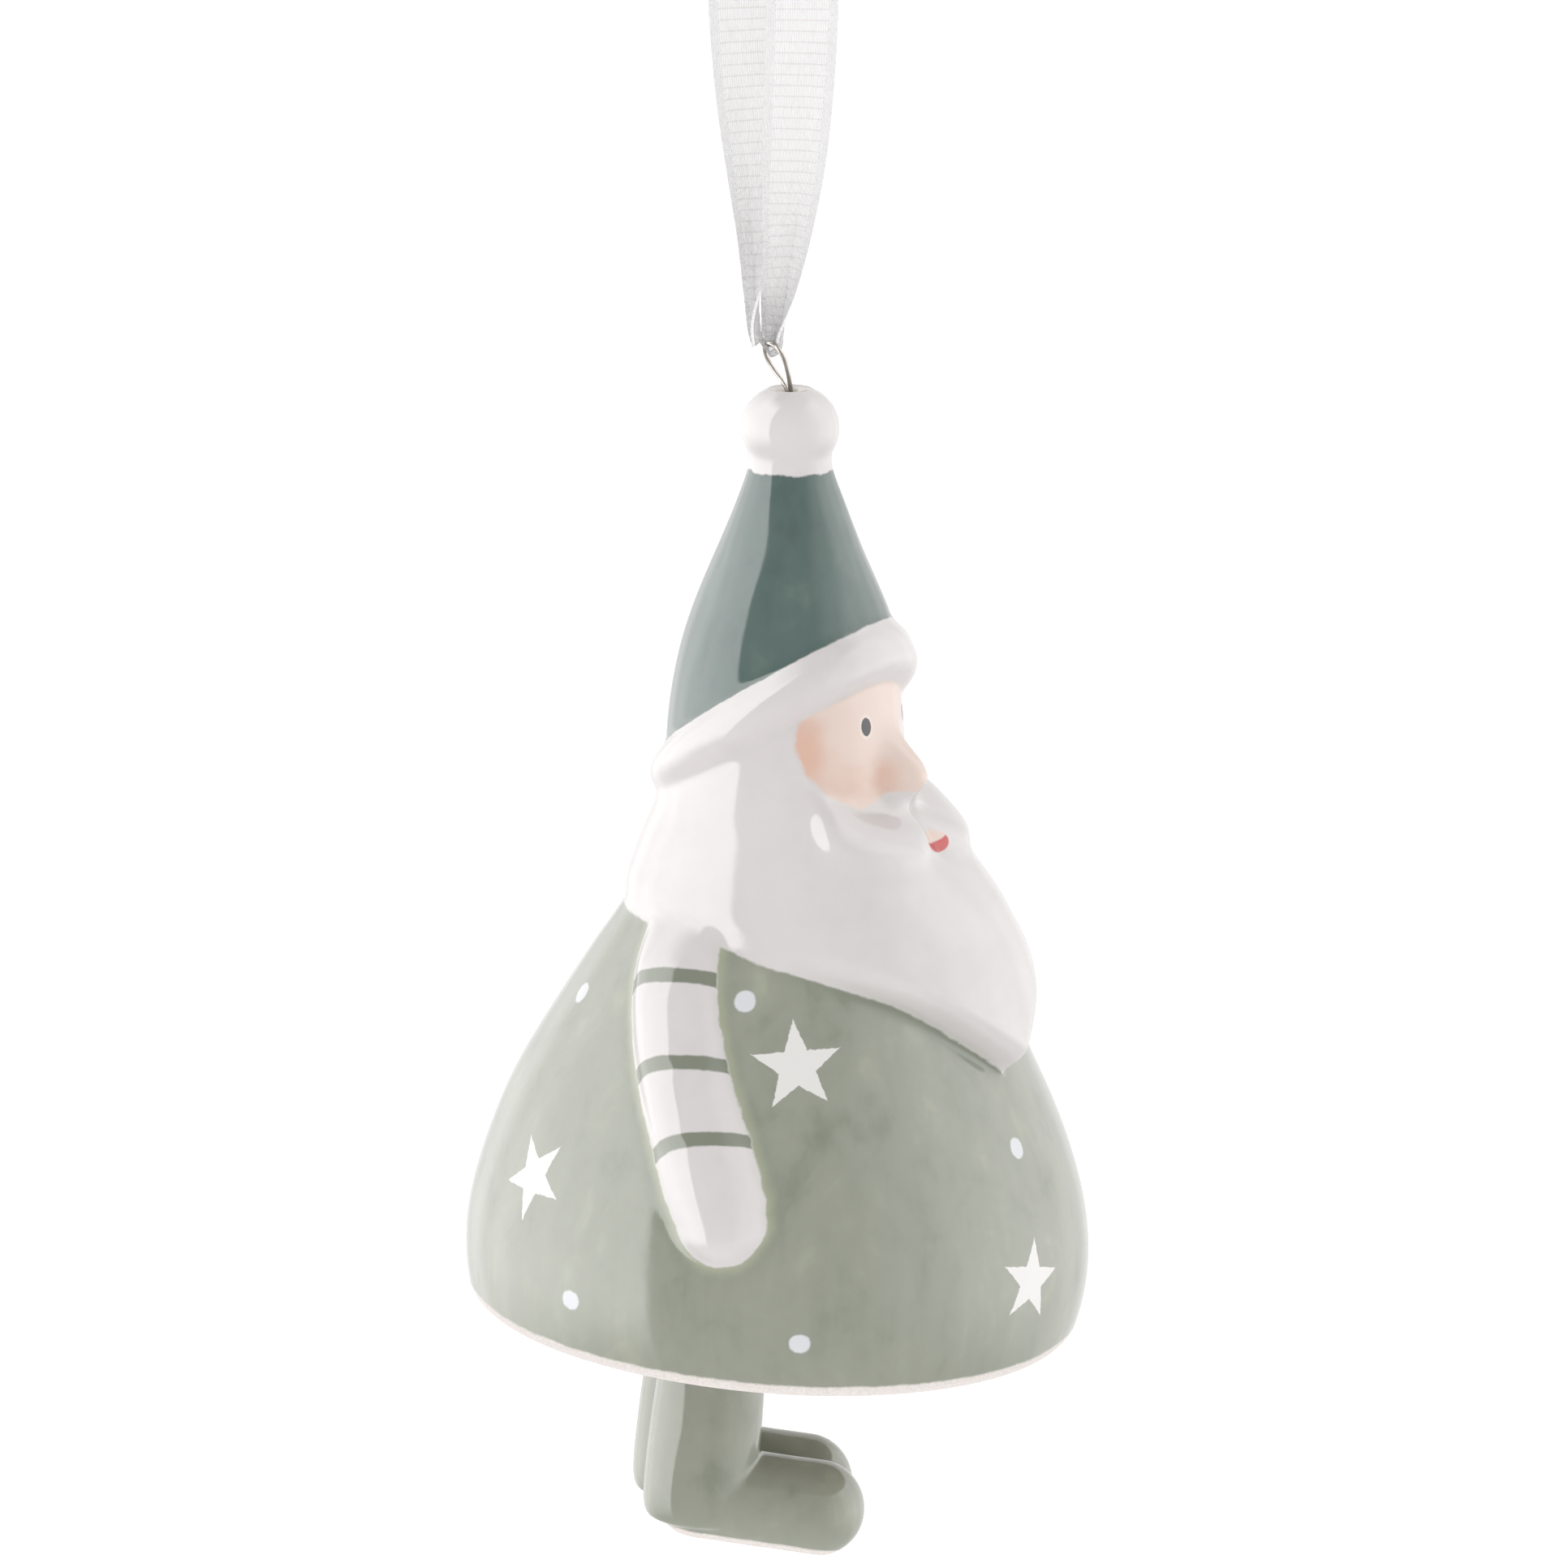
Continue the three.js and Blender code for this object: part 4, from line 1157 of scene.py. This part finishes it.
def add_bead():
    flat = math.asin(BEAD_BORE / BEAD_RADIUS)
    angle = np.linspace(flat, np.pi - flat, 36)
    profile = np.column_stack([-np.cos(angle), np.sin(angle)]) * BEAD_RADIUS
    bore = [(profile[-1, 0] - 0.12, BEAD_BORE - 0.06), (profile[0, 0] + 0.12, BEAD_BORE - 0.06)]
    profile = np.vstack([profile, bore])
    around = np.linspace(0, 2 * np.pi, 56, endpoint=False)
    grid = np.stack([profile[:, [1]] * np.cos(around), profile[:, [1]] * np.sin(around),
                     np.repeat(profile[:, [0]] + CROWN_Z - BEAD_DEPTH, 56, axis=1)], axis=-1)
    bead = grid_mesh("turned_bead", grid, closed_rows=True)
    flip_if_inside_out(bead)
    bead.data.materials.append(bead_material())
    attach(bead, "hanger")
    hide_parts("stop_bead")


# ---- Stage and lights ----

def add_light(name, across_deg, rise_deg, distance, width, height, radiance):
    """A softbox on a ring round the object. Angles are from the camera's side, to its right and up."""
    light = bpy.data.objects.new(name, bpy.data.lights.new(name, "AREA"))
    bpy.context.scene.collection.objects.link(light)
    a, r = math.radians(across_deg), math.radians(rise_deg)
    way = math.cos(r) * (math.cos(a) * TOWARDS + math.sin(a) * ACROSS) + math.sin(r) * UP
    aim = UP * (CROWN_Z - 45) * MM
    light.location = aim + way * distance
    light.rotation_euler = Vector(way).to_track_quat("Z", "Y").to_euler()
    light.data.shape = "RECTANGLE"
    light.data.size, light.data.size_y = width, height
    light.data.energy = radiance * math.pi * width * height
    return light


# Brightness of the room all round, and of the softboxes' reflections against degrees to the camera's
# right. The left one has a crisp near side; the right one fades in. Both fade out low down and overhead.
ROOM_LIGHT = 0.86
LEFT_SOFTBOX = [(-180, 0.1), (-165, 0.4), (-140, 1.7), (-115, 3.5), (-90, 4.6), (-52, 4.6)]
LEFT_EDGE = (-52, -48)
RIGHT_SOFTBOX = [(26, 0.0), (55, 1.1), (80, 2.5), (105, 2.5), (130, 1.4), (155, 0.5), (180, 0.1)]
SOFTBOX_LOW = (-46, -4)
SOFTBOX_HIGH = (50, 75)
FLOOR_GLOW = 0.3
FLOOR_DROP = 0.12
FLOOR_RADIUS = 6


class RoomPaint(Paint):
    """The same methods for the world's nodes."""

    def __init__(self, world):
        world.use_nodes = True
        self.tree = world.node_tree


def softboxes(p):
    """How much brighter than the plain room each direction of the studio is in a reflection."""
    way = p.node("ShaderNodeTexCoord").outputs["Generated"]

    def along(axis):
        dot = p.node("ShaderNodeVectorMath", "DOT_PRODUCT")
        p.link(way, dot.inputs[0])
        dot.inputs[1].default_value = tuple(axis)
        return dot.outputs["Value"]

    turn = p.times(p.math("ARCTAN2", along(ACROSS), along(TOWARDS)), 180 / math.pi)
    rise = p.times(p.math("ARCSINE", along(UP)), 180 / math.pi)
    left = p.times(p.graph(turn, LEFT_SOFTBOX), p.fade(turn, LEFT_EDGE[1], LEFT_EDGE[0]))
    right = p.graph(turn, RIGHT_SOFTBOX)
    window = p.times(p.fade(rise, *SOFTBOX_LOW), p.fade(rise, SOFTBOX_HIGH[1], SOFTBOX_HIGH[0]))
    return p.times(p.add(left, right), window)


def add_stage():
    low = CAD_BOX[0][2] - FLOOR_DROP
    bpy.ops.mesh.primitive_circle_add(vertices=96, radius=FLOOR_RADIUS, fill_type="NGON",
                                      location=(0, 0, low))
    floor = bpy.context.object
    floor.name = "floor"
    p = Paint("pale_floor")
    tone = p.mix(p.fade(p.noise(400.0, 2), -0.5, 0.5), srgb(250, 250, 250), srgb(246, 246, 247))
    p.shader.inputs["Emission Color"].default_value = (1, 1, 1, 1)
    p.shader.inputs["Emission Strength"].default_value = FLOOR_GLOW
    floor.data.materials.append(p.finish(tone, 0.9))
    floor.visible_glossy = False
    world = bpy.data.worlds.new("studio")
    bpy.context.scene.world = world
    p = RoomPaint(world)
    nodes = p.tree.nodes
    room, seen = nodes["Background"], nodes.new("ShaderNodeBackground")
    path = nodes.new("ShaderNodeLightPath")
    room.inputs["Color"].default_value = (1, 0.99, 0.99, 1)
    shine = p.times(softboxes(p), path.outputs["Is Glossy Ray"])
    p.link(p.add(shine, ROOM_LIGHT), room.inputs["Strength"])
    seen.inputs["Color"].default_value = (1, 1, 1, 1)
    either = nodes.new("ShaderNodeMixShader")
    p.link(path.outputs["Is Camera Ray"], either.inputs[0])
    p.link(room.outputs[0], either.inputs[1])
    p.link(seen.outputs[0], either.inputs[2])
    p.link(either.outputs[0], nodes["World Output"].inputs[0])
    add_light("key_light", -60, 50, 0.9, 0.5, 0.5, 0.7).visible_glossy = False
    bpy.context.scene.view_settings.view_transform = "Standard"


add_camera()
add_ribbon()
add_bell()
add_legs()
add_wires()
add_bead()
add_stage()
